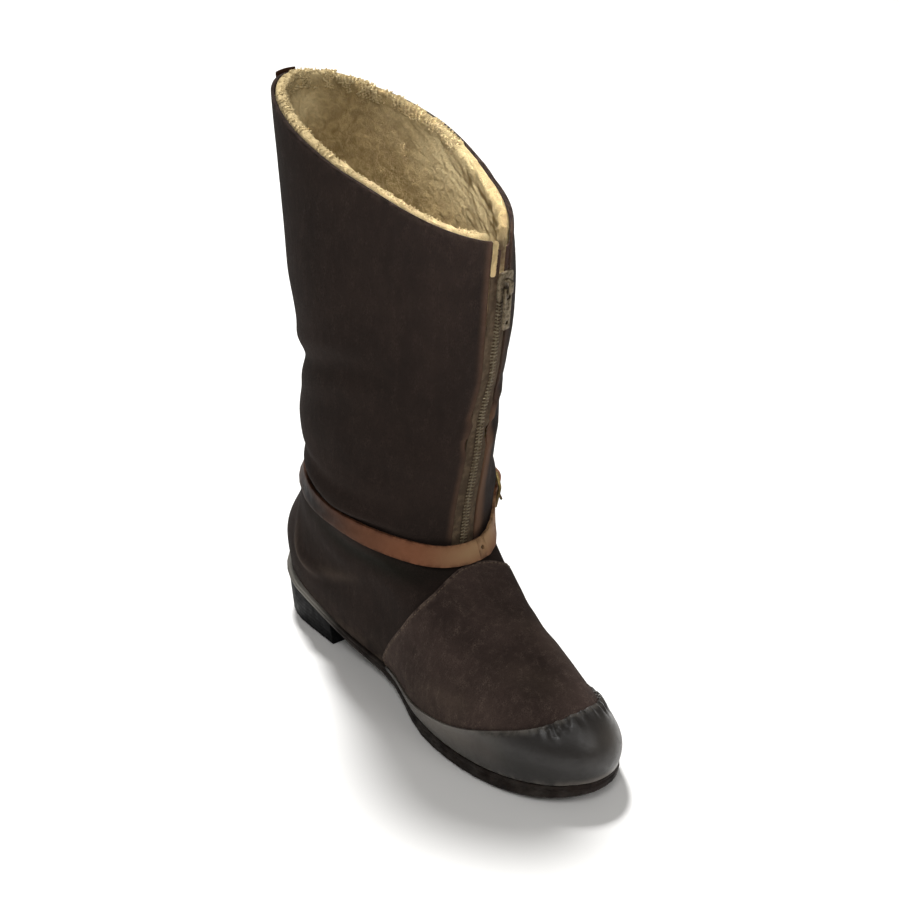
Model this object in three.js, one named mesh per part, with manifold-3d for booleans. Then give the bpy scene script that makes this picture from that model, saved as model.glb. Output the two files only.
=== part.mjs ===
// Sheepskin-lined flying boot for the left foot, in millimetres.
// The toe points along -Y, the outer side of the foot along +X, and +Z is up.
// The origin lies on the floor, on the heel's flat bottom.
import * as THREE from 'three';
import Module from 'manifold-3d';

const wasm = await Module();
wasm.setup();

// Main sizes
const HEEL_BACK = 49; // y of the sole's rear end
const SOLE_LENGTH = 310;
const HEEL_LENGTH = 78; // from the rear end to the heel's front face
const WALL = 2.4; // leather wall of the upper
const GAP = 0.3; // clear gap between pieces that touch
const SKIN_GAP = 0.5; // clear gap under a piece laid on the curved upper
const COLUMNS = 46; // facets round the upper
const FULL = 2 * Math.PI;

// Colours as made, with roughness and metalness
const LOOKS = {
  suede: [0x33271f, 0.95, 0],
  vamp: [0x3a2d27, 0.95, 0],
  galosh: [0x2b2a2b, 0.5, 0],
  sole: [0x1f1b19, 0.8, 0],
  heel: [0x191a1c, 0.7, 0],
  insole: [0x8a6d4a, 0.9, 0],
  fleece: [0xcdb98c, 1, 0],
  strap: [0x7a4a28, 0.6, 0],
  tape: [0x6b5233, 0.9, 0],
  teeth: [0x6e6350, 0.5, 0.7],
  metal: [0x77736a, 0.45, 0.9],
  brass: [0x8a6a3a, 0.45, 0.9],
};

// Small helpers
const lerp = (a, b, t) => a + (b - a) * t;
const clamp01 = (t) => Math.min(1, Math.max(0, t));
const bell = (t) => Math.exp(-t * t);

function ease(from, to, value) {
  const t = clamp01((value - from) / (to - from));
  return t * t * (3 - 2 * t);
}

// Turns rows of numbers into objects with named columns.
function table(names, rows) {
  return rows.map((row) => Object.fromEntries(names.map((name, i) => [name, row[i]])));
}

// Smooth curve through given points that never overshoots them.
function curveThrough(xs, ys) {
  const slopes = xs.slice(1).map((x, i) => (ys[i + 1] - ys[i]) / (x - xs[i]));
  const tangents = xs.map((_, i) => {
    const before = slopes[Math.max(0, i - 1)];
    const after = slopes[Math.min(slopes.length - 1, i)];
    return before * after <= 0 ? 0 : (2 * before * after) / (before + after);
  });
  return (x) => {
    const last = xs.length - 2;
    const found = xs.findIndex((_, k) => k === last || x < xs[k + 1]);
    const step = xs[found + 1] - xs[found];
    const t = clamp01((x - xs[found]) / step);
    const rise = slopes[found] * step;
    const a = tangents[found] * step - rise;
    const b = rise - tangents[found + 1] * step;
    return ys[found] + rise * t + t * (1 - t) * (a * (1 - t) + b * t);
  };
}

// Sole profile: at is the share of the length from the rear end,
// under the height of the underside and thick the thickness there.
const SOLE_PROFILE = table(['at', 'under', 'thick'], [
  [0.0, 33.0, 5.5],
  [0.12, 28.0, 5.5],
  [0.24, 20.5, 5.5],
  [0.33, 14.4, 5.8],
  [0.42, 8.6, 6.6],
  [0.5, 4.2, 7.8],
  [0.57, 1.1, 9.0],
  [0.62, 0.0, 9.6],
  [0.75, 0.0, 10.0],
  [0.83, 1.0, 10.0],
  [0.91, 3.8, 9.6],
  [1.0, 9.5, 9.0],
]);
const stations = SOLE_PROFILE.map((row) => row.at);
const underCurve = curveThrough(stations, SOLE_PROFILE.map((row) => row.under));
const thickCurve = curveThrough(stations, SOLE_PROFILE.map((row) => row.thick));
const soleShare = (y) => (HEEL_BACK - y) / SOLE_LENGTH;
const soleUnder = (y) => underCurve(soleShare(y));
const soleTop = (y) => soleUnder(y) + thickCurve(soleShare(y));
const seat = (y) => soleTop(y) + SKIN_GAP;

// Section rings of the upper, one row each, from the sole's edge to the collar.
// front and back are the ring's end points; fore and rear its half widths towards
// the inner (In) and outer (Out) side; waist is the pinch on the inner side;
// capF and capB are the shares of the length that round off, pointF and pointB how
// full they are; follow says how closely the ring keeps to the sole's line, and
// bow how early it climbs from front to back.
const SECTION_NAMES = [
  'frontX', 'frontY', 'frontZ', 'backX', 'backY', 'backZ',
  'foreIn', 'foreOut', 'rearIn', 'rearOut', 'waist',
  'capF', 'capB', 'pointF', 'pointB', 'follow', 'bow',
];
const SECTIONS = table(SECTION_NAMES, [
  [-1, -256, seat(-256), -1, 46, seat(46), 46.5, 46, 38, 36, 9.5, 0.31, 0.15, 2.1, 2, 1, 1],
  [-2, -257, 31, -1, 49, 53, 49, 44.5, 40.5, 38.5, 8, 0.31, 0.16, 2.1, 2, 1, 1],
  [-3, -253, 41.5, -1, 49.5, 65, 48.5, 41.5, 42, 40, 7, 0.31, 0.17, 2.1, 2, 0.95, 1],
  [-3, -245, 51, -0.5, 46.5, 77, 45.5, 36.5, 42, 42, 6, 0.33, 0.19, 2.1, 2, 0.85, 1],
  [-2, -230, 58.5, 0, 40.5, 89, 41, 33.5, 43, 44, 4, 0.37, 0.23, 2.05, 2, 0.7, 1],
  [-1, -205, 65.5, 0, 36, 100, 39, 33, 45.5, 48, 2.5, 0.42, 0.29, 2, 2, 0.5, 1],
  [1, -179, 73, 0, 34, 110, 40, 36, 50, 53, 1, 0.46, 0.36, 2, 2, 0.3, 1],
  [2.5, -153, 82, 0, 30, 118, 44, 43, 51.5, 57, 0, 0.48, 0.43, 2, 2, 0.15, 1],
  [3, -131, 90, 0, 26, 126, 50, 51, 51.5, 60, 0, 0.5, 0.47, 2, 2, 0, 1],
  [4, -116, 98.5, -0.5, 23.5, 134, 51.5, 57, 51.5, 61, 0, 0.5, 0.5, 2, 2, 0, 1],
  [5, -111, 112, -1.5, 23.5, 145, 53, 62, 53, 64, 0, 0.5, 0.5, 2, 2, 0, 1],
  [5.5, -112, 135, -2.5, 26, 160, 54, 62, 55, 65, 0, 0.5, 0.5, 1.95, 2, 0, 1],
  [7, -115, 175, -5, 28, 205, 52, 62, 52, 64, 0, 0.5, 0.5, 1.9, 1.95, 0, 1],
  [9, -122, 230, -13, 36, 268, 50, 62, 55, 60, 0, 0.5, 0.5, 1.88, 1.95, 0, 1.1],
  [10.5, -128, 282, -18.5, 43, 332, 50, 55, 56, 55, 0, 0.5, 0.5, 1.86, 1.9, 0, 1.2],
  [10.5, -129, 324, -23, 47, 383, 50, 48, 55, 50, 0, 0.5, 0.5, 1.85, 1.9, 0, 1.24],
]);
const TOP = SECTIONS.length - 1; // level of the collar
const rowNumbers = SECTIONS.map((_, i) => i);
const sectionCurves = SECTION_NAMES.map((name) => {
  const values = SECTIONS.map((row) => row[name]);
  return [name, curveThrough(rowNumbers, values)];
});
const sectionCache = new Map();

function section(level) {
  if (!sectionCache.has(level)) {
    const row = Object.fromEntries(sectionCurves.map(([name, curve]) => [name, curve(level)]));
    sectionCache.set(level, row);
  }
  return sectionCache.get(level);
}

// Share of the half width left at a distance from a rounded end.
function roundedEnd(distance, cap, fullness) {
  if (distance >= cap) return 1;
  const depth = 1 - Math.max(0, distance) / cap;
  return Math.max(0, 1 - depth ** fullness) ** (1 / fullness);
}

// Plan position on one ring; angle 0 is the front, a quarter turn the outer side.
const WAIST = { at: 0.535, reach: 0.11 }; // shares of the ring's length
const WIDENING = { from: 0.3, to: 0.72 }; // where the fore width passes into the rear width

function planPoint(ring, angle) {
  const share = (1 - Math.cos(angle)) / 2;
  const outer = Math.sin(angle) >= 0;
  const fore = outer ? ring.foreOut : ring.foreIn;
  const rear = outer ? ring.rearOut : ring.rearIn;
  const pinch = outer ? 0 : ring.waist * bell((share - WAIST.at) / WAIST.reach);
  const width = lerp(fore, rear, ease(WIDENING.from, WIDENING.to, share)) - pinch;
  const front = roundedEnd(share, ring.capF, ring.pointF);
  const back = roundedEnd(1 - share, ring.capB, ring.pointB);
  const axis = new THREE.Vector2(ring.backX - ring.frontX, ring.backY - ring.frontY);
  const across = new THREE.Vector2(axis.y, -axis.x).normalize();
  const half = width * front * back * (outer ? 1 : -1);
  return {
    share,
    x: ring.frontX + axis.x * share + across.x * half,
    y: ring.frontY + axis.y * share + across.y * half,
  };
}

// Point on the upper's outer face.
function facePoint(level, angle) {
  const ring = section(level);
  const plan = planPoint(ring, angle);
  const climb = 1 - (1 - plan.share) ** ring.bow;
  const front = ring.frontZ - ring.follow * soleTop(ring.frontY);
  const back = ring.backZ - ring.follow * soleTop(ring.backY);
  const z = lerp(front, back, climb) + ring.follow * soleTop(plan.y);
  return new THREE.Vector3(plan.x, plan.y, z);
}

// Outward direction of the upper's face; level with the floor along the sole's edge.
const LEVEL_STEP = 0.02;
const ANGLE_STEP = 0.01;

function faceNormal(level, angle) {
  const low = Math.max(0, level - LEVEL_STEP);
  const high = Math.min(TOP, level + LEVEL_STEP);
  const round = facePoint(level, angle + ANGLE_STEP).sub(facePoint(level, angle - ANGLE_STEP));
  const rise = facePoint(high, angle).sub(facePoint(low, angle));
  const normal = round.cross(rise);
  normal.z *= ease(0, 0.8, level);
  return normal.normalize();
}

// Point at a distance outside (or, below zero, inside) the upper's face.
function skin(level, angle, offset) {
  const base = facePoint(level, angle);
  const point = base.clone().addScaledVector(faceNormal(level, angle), offset);
  point.z += section(level).follow * (soleTop(point.y) - soleTop(base.y));
  return point;
}

// Angle at a given length along the ring from a start angle, the front by default;
// lengths below zero run towards the inner side.
function angleAtLength(level, length, start = 0) {
  const step = ANGLE_STEP * Math.sign(length);
  let angle = start;
  let walked = 0;
  let from = facePoint(level, start);
  while (walked < Math.abs(length)) {
    angle += step;
    const to = facePoint(level, angle);
    const stride = to.distanceTo(from);
    walked += stride;
    from = to;
    if (walked > Math.abs(length)) angle -= (step * (walked - Math.abs(length))) / stride;
  }
  return angle;
}

// Level shift that moves a point by the given length up the face.
function levelsFor(level, angle, length) {
  const high = facePoint(level + LEVEL_STEP, angle);
  const low = facePoint(level - LEVEL_STEP, angle);
  return (length * 2 * LEVEL_STEP) / high.distanceTo(low);
}

// Faces with two corners in one place are left out.
function meshFromFaces(points, faces) {
  const positions = [];
  const key = (p) => [p.x, p.y, p.z].map((c) => Math.round(c * 1000)).join(' ');
  for (const corners of faces) {
    const keys = corners.map((index) => key(points[index]));
    if (new Set(keys).size < 3) continue;
    for (const index of corners) positions.push(points[index].x, points[index].y, points[index].z);
  }
  const geometry = new THREE.BufferGeometry();
  geometry.setAttribute('position', new THREE.Float32BufferAttribute(positions, 3));
  geometry.computeVertexNormals();
  return geometry;
}

// Closed slab between two layers of one grid. place(i, j, layer) gives the points,
// layer 1 being the outer one; openFrom is the first row whose two ends stand apart.
function slab(columns, rows, place, openFrom = 0) {
  const points = [];
  const faces = [];
  const index = (i, j, layer) => (i * (rows + 1) + j) * 2 + layer;
  const quad = (a, b, c, d) => faces.push([a, b, c], [a, c, d]);
  for (let i = 0; i <= columns; i++) {
    for (let j = 0; j <= rows; j++) points.push(place(i, j, 0), place(i, j, 1));
  }
  for (let i = 0; i < columns; i++) {
    for (let j = 0; j < rows; j++) {
      quad(index(i, j, 1), index(i + 1, j, 1), index(i + 1, j + 1, 1), index(i, j + 1, 1));
      quad(index(i, j, 0), index(i, j + 1, 0), index(i + 1, j + 1, 0), index(i + 1, j, 0));
    }
    quad(index(i, 0, 0), index(i + 1, 0, 0), index(i + 1, 0, 1), index(i, 0, 1));
    quad(index(i, rows, 0), index(i, rows, 1), index(i + 1, rows, 1), index(i + 1, rows, 0));
  }
  for (let j = openFrom; j < rows; j++) {
    quad(index(0, j, 0), index(0, j, 1), index(0, j + 1, 1), index(0, j + 1, 0));
    quad(index(columns, j, 0), index(columns, j + 1, 0), index(columns, j + 1, 1), index(columns, j, 1));
  }
  return meshFromFaces(points, faces);
}

// Closed plug from loops stacked bottom to top, each closed by rungs from side to side.
function stack(loops) {
  const points = loops.flat();
  const count = loops[0].length;
  const faces = [];
  for (let k = 0; k + 1 < loops.length; k++) {
    for (let i = 0; i < count; i++) {
      const a = k * count + i;
      const b = k * count + ((i + 1) % count);
      faces.push([a, b, b + count], [a, b + count, a + count]);
    }
  }
  const top = (loops.length - 1) * count;
  for (let i = 0; 2 * i + 1 < count; i++) {
    const j = count - 1 - i;
    faces.push([i, j, j - 1], [i, j - 1, i + 1]);
    faces.push([top + i, top + j - 1, top + j], [top + i, top + i + 1, top + j - 1]);
  }
  return meshFromFaces(points, faces);
}

const boot = new THREE.Group();
boot.name = 'flying_boot';

function addPiece(name, geometry, look) {
  const [color, roughness, metalness] = LOOKS[look];
  const material = new THREE.MeshStandardMaterial({ color, roughness, metalness });
  const mesh = new THREE.Mesh(geometry, material);
  mesh.name = name;
  boot.add(mesh);
  return mesh;
}

// Sole outline, outside the upper by the width of the ledge under the overlays.
const LEDGE_FORE = 5.2;
const LEDGE_REAR = 2.2;
const SOLE_RING = {
  ...section(0),
  frontY: HEEL_BACK - SOLE_LENGTH,
  backY: HEEL_BACK,
  foreIn: section(0).foreIn + LEDGE_FORE,
  foreOut: section(0).foreOut + LEDGE_FORE,
  rearIn: section(0).rearIn + LEDGE_REAR,
  rearOut: section(0).rearOut + LEDGE_REAR,
};

// Loop of the sole's outline drawn in by an inset, at heights given by a function of y.
function outlineLoop(angles, inset, height) {
  return angles.map((angle) => {
    const here = planPoint(SOLE_RING, angle);
    const ahead = planPoint(SOLE_RING, angle + ANGLE_STEP);
    const behind = planPoint(SOLE_RING, angle - ANGLE_STEP);
    const inward = new THREE.Vector2(behind.y - ahead.y, ahead.x - behind.x).normalize();
    const x = here.x + inward.x * inset;
    const y = here.y + inward.y * inset;
    return new THREE.Vector3(x, y, height(y));
  });
}

// Outsole: bottom bevel, upright side with one shallow groove under the top edge.
const SOLE_SIDE = table(['inset', 'share'], [
  [1.6, 0.0],
  [0.4, 0.12],
  [0.0, 0.55],
  [0.9, 0.68],
  [0.3, 0.8],
  [0.8, 1.0],
]);

const SOLE_COUNT = 64;
const soleAngles = Array.from({ length: SOLE_COUNT }, (_, i) => ((i + 0.5) * FULL) / SOLE_COUNT);

function outsole() {
  const loops = SOLE_SIDE.map(({ inset, share }) =>
    outlineLoop(soleAngles, inset, (y) => lerp(soleUnder(y), soleTop(y), share)));
  return stack(loops);
}

// Heel block under the seat, tapering a little to its flat bottom.
const HEEL_SIDE = table(['inset', 'share'], [
  [6.0, 0],
  [5.0, 0.04],
  [3.0, 0.6],
  [1.6, 1],
]);

const HEEL_COUNT = 22;

function heelBlock() {
  const breast = 1 - HEEL_LENGTH / SOLE_LENGTH;
  const start = Math.acos(1 - 2 * breast);
  const turn = (i) => lerp(start, FULL - start, i / (HEEL_COUNT - 1));
  const angles = Array.from({ length: HEEL_COUNT }, (_, i) => turn(i));
  const loops = HEEL_SIDE.map(({ inset, share }) =>
    outlineLoop(angles, inset, (y) => share * (soleUnder(y) - SKIN_GAP)));
  return stack(loops);
}

// Insole lying on the outsole inside the upper.
const INSOLE_THICK = 3.5;
const INSOLE_CLEAR = 0.8; // to the upper's inner face

function insole() {
  const loop = (lift) => soleAngles.map((angle) => {
    const point = skin(0, angle, -WALL - INSOLE_CLEAR);
    point.z = seat(point.y) + lift;
    return point;
  });
  return stack([loop(0), loop(INSOLE_THICK)]);
}

// Zip line: how far the middle of the slit lies outside the ring's front.
const ZIP_LINE = table(['level', 'shift'], [
  [9, 0],
  [10, 2],
  [11, 2.5],
  [11.6, 4],
  [12.1, 3],
  [12.4, 3.5],
  [12.8, 6],
  [13.1, 5],
  [13.7, 2.2],
  [14.3, 1],
  [15, 1.5],
]);
const zipShift = curveThrough(ZIP_LINE.map((row) => row.level), ZIP_LINE.map((row) => row.shift));
const zipAngle = (level, length) => angleAtLength(level, zipShift(level) + length);

// Front slit for the zip: closed below its foot, then of even width up to the collar.
const SLIT_FOOT = 9;
const SLIT_HALF = 10.5;
const slitHalf = (level) => SLIT_HALF * ease(SLIT_FOOT, SLIT_FOOT + 0.3, level);

// Angle of a column that runs from one edge of the slit round the back to the other.
function columnAngle(level, column, half = slitHalf(level)) {
  const outerEdge = zipAngle(level, half);
  const innerEdge = FULL + zipAngle(level, -half);
  return lerp(outerEdge, innerEdge, column / COLUMNS);
}

// Levels of the upper's facets, closer where the instep turns into the shaft.
const LEVELS = [
  0, 0.5, 1, 1.5, 2, 2.5, 3, 3.5, 4, 4.6, 5.3, 6, 6.7, 7.4, 8.1, 8.8, 9,
  9.3, 9.7, 10.3, 11, 11.7, 12.4, 13, 13.5, 14, 14.5, TOP,
];

function upper() {
  const place = (i, j, layer) => {
    const level = LEVELS[j];
    return skin(level, columnAngle(level, i), layer ? 0 : -WALL);
  };
  return slab(COLUMNS, LEVELS.length - 1, place, LEVELS.indexOf(SLIT_FOOT));
}

// Fleece sleeve inside the shaft, its locks standing out of the inner face,
// with a soft roll above the collar.
const FLEECE = { depth: 7, lock: 1.1, roll: 1.2, draw: 1.8, outer: -WALL - SKIN_GAP };
const FLEECE_LEVELS = LEVELS.filter((level) => level > 10);

function lockHeight(i, j) {
  return FLEECE.lock * Math.sin(i * 2.4 + j * 1.1) * Math.cos(i * 0.9 - j * 2.3);
}

function fleeceLining() {
  const rows = FLEECE_LEVELS.length;
  const place = (i, j, layer) => {
    const onRoll = j === rows;
    const level = FLEECE_LEVELS[Math.min(j, rows - 1)];
    const angle = columnAngle(level, i, SLIT_HALF + SKIN_GAP);
    const draw = onRoll ? FLEECE.draw : 0;
    const inner = FLEECE.outer - FLEECE.depth + draw - lockHeight(i, j);
    const point = skin(level, angle, layer ? FLEECE.outer - draw : inner);
    if (onRoll) point.z += FLEECE.roll;
    return point;
  };
  return slab(COLUMNS, rows, place);
}

// Columns of a panel that is the same on both sides of the front.
const bothSides = (columns) => [...columns.slice(1).reverse().map((c) => -c), ...columns];
const columnTurn = (column) => (column * FULL) / COLUMNS;

// Panel laid over the foot from the sole's edge up to an edge level per column;
// its facets lie over those of the upper.
const PANEL_COLUMNS = [0, 1, 2, 3, 4, 5, 6, 7, 8, 9, 10, 10.5, 11, 11.5, 12];

function footPanel(edgeRows, lift, thick) {
  const edge = curveThrough(edgeRows.map((row) => row.column), edgeRows.map((row) => row.level));
  const last = edgeRows[edgeRows.length - 1].column;
  const columns = bothSides([...PANEL_COLUMNS, last]);
  const rows = LEVELS.findIndex((level) => level > edgeRows[0].level);
  const place = (i, j, layer) => {
    const level = Math.min(LEVELS[j], edge(Math.abs(columns[i])));
    return skin(level, columnTurn(columns[i]), lift + (layer ? thick : 0));
  };
  return slab(columns.length - 1, rows, place);
}

// Vamp: a separate panel over the toe and instep; its edge runs up from the waist
// of the sole to a narrow end under the strap.
const VAMP_LIFT = 0.9;
const VAMP_THICK = 1.5;
const VAMP_EDGE = table(['column', 'level'], [
  [0, 8.8],
  [1, 8.75],
  [2, 8.5],
  [3, 8.2],
  [5, 7.45],
  [7, 6.6],
  [9, 5.4],
  [10.5, 4.1],
  [11.5, 2.6],
  [12.4, 0.6],
]);
const vamp = () => footPanel(VAMP_EDGE, VAMP_LIFT, VAMP_THICK);

// Toe galosh: a smooth leather band along the sole's edge, highest at the toe.
const GALOSH_THICK = 1.4;
const GALOSH_LIFT = VAMP_LIFT + VAMP_THICK + SKIN_GAP;
const GALOSH_EDGE = table(['column', 'level'], [
  [0, 3.5],
  [1, 3.48],
  [2.5, 3.2],
  [4, 2.85],
  [5.5, 2.45],
  [6.6, 2.05],
  [8, 1.4],
  [9, 1.05],
  [10.2, 0.6],
  [11.3, 0.35],
  [12.2, 0.3],
]);
const toeGalosh = () => footPanel(GALOSH_EDGE, GALOSH_LIFT, GALOSH_THICK);

// Zip tapes and the closed chain between them, set into the slit.
const ZIP_FOOT = 9.3;
const CHAIN = { half: 3, top: 14.45, inner: -2.4, outer: -0.3 };
const TAPE = { edge: SLIT_HALF - SKIN_GAP, top: 14.85, inner: -2, outer: -1 };

function zipStrip(fromLength, toLength, { top, inner, outer }) {
  const levels = [...LEVELS.filter((level) => level >= ZIP_FOOT && level < top), top];
  const place = (i, j, layer) => {
    const angle = zipAngle(levels[j], i ? toLength : fromLength);
    return skin(levels[j], angle, layer ? outer : inner);
  };
  return slab(1, levels.length - 1, place);
}

const tapeOuter = () => zipStrip(CHAIN.half + GAP, TAPE.edge, TAPE);
const tapeInner = () => zipStrip(-TAPE.edge, -CHAIN.half - GAP, TAPE);
const zipChain = () => zipStrip(-CHAIN.half, CHAIN.half, CHAIN);

// Frame on the upper's face: x along a given line, y across it, z outwards.
function frameAt(origin, along, outward) {
  along.addScaledVector(outward, -along.dot(outward)).normalize();
  const across = new THREE.Vector3().crossVectors(outward, along);
  return new THREE.Matrix4().makeBasis(along, across, outward).setPosition(origin);
}

function ringFrame(level, angle) {
  const along = facePoint(level, angle + ANGLE_STEP).sub(facePoint(level, angle - ANGLE_STEP));
  return frameAt(facePoint(level, angle), along, faceNormal(level, angle));
}

function extruded(shape, from, to) {
  const options = { depth: to - from, bevelEnabled: false, curveSegments: 3 };
  return new THREE.ExtrudeGeometry(shape, options).translate(0, 0, from);
}

// Rectangle with rounded corners, as an outline or as a hole.
function roundedBox(path, x0, y0, x1, y1, r) {
  path.moveTo(x0 + r, y0);
  path.lineTo(x1 - r, y0);
  path.absarc(x1 - r, y0 + r, r, -Math.PI / 2, 0);
  path.lineTo(x1, y1 - r);
  path.absarc(x1 - r, y1 - r, r, 0, Math.PI / 2);
  path.lineTo(x0 + r, y1);
  path.absarc(x0 + r, y1 - r, r, Math.PI / 2, Math.PI);
  path.lineTo(x0, y0 + r);
  path.absarc(x0 + r, y0 + r, r, Math.PI, 1.5 * Math.PI);
  return path;
}

// Solids for joining and cutting
function toSolid(geometry) {
  const loose = geometry.index ? geometry.toNonIndexed() : geometry;
  const { position } = loose.attributes;
  const seen = new Map();
  const vertices = [];
  const corners = [];
  for (let i = 0; i < position.count; i++) {
    const point = [position.getX(i), position.getY(i), position.getZ(i)];
    const key = point.map((c) => Math.round(c * 1000)).join(' ');
    if (!seen.has(key)) {
      seen.set(key, seen.size);
      vertices.push(...point);
    }
    corners.push(seen.get(key));
  }
  const triVerts = [];
  for (let i = 0; i < corners.length; i += 3) {
    const face = corners.slice(i, i + 3);
    if (new Set(face).size === 3) triVerts.push(...face);
  }
  return new wasm.Manifold(new wasm.Mesh({
    numProp: 3,
    vertProperties: new Float32Array(vertices),
    triVerts: new Uint32Array(triVerts),
  }));
}

function toGeometry(solid) {
  const { vertProperties, triVerts } = solid.getMesh();
  const geometry = new THREE.BufferGeometry();
  geometry.setAttribute('position', new THREE.Float32BufferAttribute(vertProperties, 3));
  geometry.setIndex(Array.from(triVerts));
  return geometry.toNonIndexed();
}

// Zip slider: a plate over the chain with a bridge that holds the pull.
const SLIDER_LEVEL = 14.3;
const sliderFrame = ringFrame(SLIDER_LEVEL, zipAngle(SLIDER_LEVEL, 0));
const PLATE = { half: 6.8, low: -9, high: 9, corner: 2.6, from: 0.1, to: 2 };
const BRIDGE = { half: 1.5, outerY: 4.6, innerY: 3.2, outerZ: 6.4, innerZ: 4.9, foot: 1.8, chamfer: 1.2 };

function zipSlider() {
  const { half, low, high, corner } = PLATE;
  const plate = roundedBox(new THREE.Shape(), -half, low, half, high, corner);
  const arch = new THREE.Shape();
  arch.moveTo(-BRIDGE.outerY, BRIDGE.foot);
  arch.lineTo(-BRIDGE.innerY, BRIDGE.foot);
  arch.lineTo(-BRIDGE.innerY, BRIDGE.innerZ);
  arch.lineTo(BRIDGE.innerY, BRIDGE.innerZ);
  arch.lineTo(BRIDGE.innerY, BRIDGE.foot);
  arch.lineTo(BRIDGE.outerY, BRIDGE.foot);
  arch.lineTo(BRIDGE.outerY, BRIDGE.outerZ - BRIDGE.chamfer);
  arch.lineTo(BRIDGE.innerY, BRIDGE.outerZ);
  arch.lineTo(-BRIDGE.innerY, BRIDGE.outerZ);
  arch.lineTo(-BRIDGE.outerY, BRIDGE.outerZ - BRIDGE.chamfer);
  const bridge = extruded(arch, -BRIDGE.half, BRIDGE.half);
  // the arch is drawn in y and z, then stood across x
  bridge.applyMatrix4(new THREE.Matrix4().set(0, 0, 1, 0, 1, 0, 0, 0, 0, 1, 0, 0, 0, 0, 0, 1));
  const body = toSolid(extruded(plate, PLATE.from, PLATE.to)).add(toSolid(bridge));
  return toGeometry(body).applyMatrix4(sliderFrame);
}

// Pull tab: its cross bar turns under the bridge; it hangs down the zip.
const PULL = { half: 3.2, top: -0.7, end: -28, corner: 0.9, from: 2.75, to: 4.35 };
const PULL_WINDOW = { half: 2.1, top: -2.6, end: -8.2, corner: 0.3 };
const PULL_EYE = { rise: 4.4, radius: 1.6 };

function zipPull() {
  const tab = roundedBox(new THREE.Shape(), -PULL.half, PULL.end, PULL.half, PULL.top, PULL.corner);
  const { half, top, end, corner } = PULL_WINDOW;
  const opening = roundedBox(new THREE.Path(), -half, end, half, top, corner);
  const eye = new THREE.Path().absarc(0, PULL.end + PULL_EYE.rise, PULL_EYE.radius, 0, FULL);
  tab.holes.push(opening, eye);
  return extruded(tab, PULL.from, PULL.to).applyMatrix4(sliderFrame);
}

// Ankle strap: height of its middle line round the boot.
const STRAP_LINE = table(['column', 'z'], [
  [-23, 119],
  [-15, 119],
  [-11, 118],
  [-7.5, 114.5],
  [-4, 108.5],
  [-2, 105],
  [0, 103],
  [2, 102],
  [4, 106],
  [6, 113.5],
  [8, 119],
  [12, 122],
  [16, 121],
  [23, 119],
]);
const strapHeight = curveThrough(STRAP_LINE.map((row) => row.column), STRAP_LINE.map((row) => row.z));
const STRAP = { half: 7, thick: 2, rest: 0.7, steps: 50, overlap: 0.8, tip: 0.13, tipShare: 0.3 };
const VAMP_RISE = { height: 2.3, from: 2.4, to: 5.5 }; // lift of the strap over the vamp's end, by column

function foldedColumn(angle) {
  const column = ((angle / FULL) * COLUMNS) % COLUMNS;
  return column > COLUMNS / 2 ? column - COLUMNS : column;
}

function levelAtHeight(angle, z) {
  let low = 3;
  let high = 13;
  for (let k = 0; k < 40; k++) {
    const middle = (low + high) / 2;
    if (facePoint(middle, angle).z < z) low = middle;
    else high = middle;
  }
  return low;
}

const strapLevel = (angle) => levelAtHeight(angle, strapHeight(foldedColumn(angle)));

// Buckle on the outer side; its frame lies over the strap that comes from the front,
// and the strap's end comes up through it and lies back over itself.
const BUCKLE = { angle: 0.98, halfX: 8, halfY: 10.5, bar: 2.5, corner: 2.4, from: 3.6, to: 5.3 };
const STRAP_RADIUS = 62; // of the ring at the buckle, to turn lengths into angles
const BUCKLE_PASS = table(['along', 'lift'], [
  [-30, 0],
  [-12, 0.2],
  [-6.5, 0.2],
  [-4, 0.9],
  [5, 5.6],
  [8.5, 5.8],
  [16, 4.2],
  [26, 2.6],
  [60, 2.6],
]);
const passLift = curveThrough(BUCKLE_PASS.map((row) => row.along), BUCKLE_PASS.map((row) => row.lift));
const STRAP_ROOT = 3.5; // length from the buckle's middle to the strap's sewn end
const strapStart = BUCKLE.angle + STRAP_ROOT / STRAP_RADIUS;
const strapEnd = strapStart + FULL + STRAP.overlap;
const buckleTurn = BUCKLE.angle + FULL;

// Height of the strap's inner face above the upper.
function strapLift(turn) {
  const { height, from, to } = VAMP_RISE;
  const overVamp = height * (1 - ease(from, to, Math.abs(foldedColumn(turn))));
  return STRAP.rest + overVamp + passLift((turn - buckleTurn) * STRAP_RADIUS);
}

// Turns at which the strap bends: even steps, and closer ones by length at the buckle.
const CLOSE_STEPS = [-9, -7, -5, -2.5, 0, 2.5, 5, 7, 9, 12];
const CLOSE_MARGIN = 2;

function strapTurns() {
  const step = (i) => lerp(strapStart, strapEnd, i / STRAP.steps);
  const even = Array.from({ length: STRAP.steps + 1 }, (_, i) => step(i));
  const along = (turn) => (turn - buckleTurn) * STRAP_RADIUS;
  const first = CLOSE_STEPS[0] - CLOSE_MARGIN;
  const last = CLOSE_STEPS[CLOSE_STEPS.length - 1] + CLOSE_MARGIN;
  const clear = even.filter((turn) => along(turn) < first || along(turn) > last);
  const closer = CLOSE_STEPS.map((length) => buckleTurn + length / STRAP_RADIUS);
  return [...clear, ...closer].sort((a, b) => a - b);
}

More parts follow.
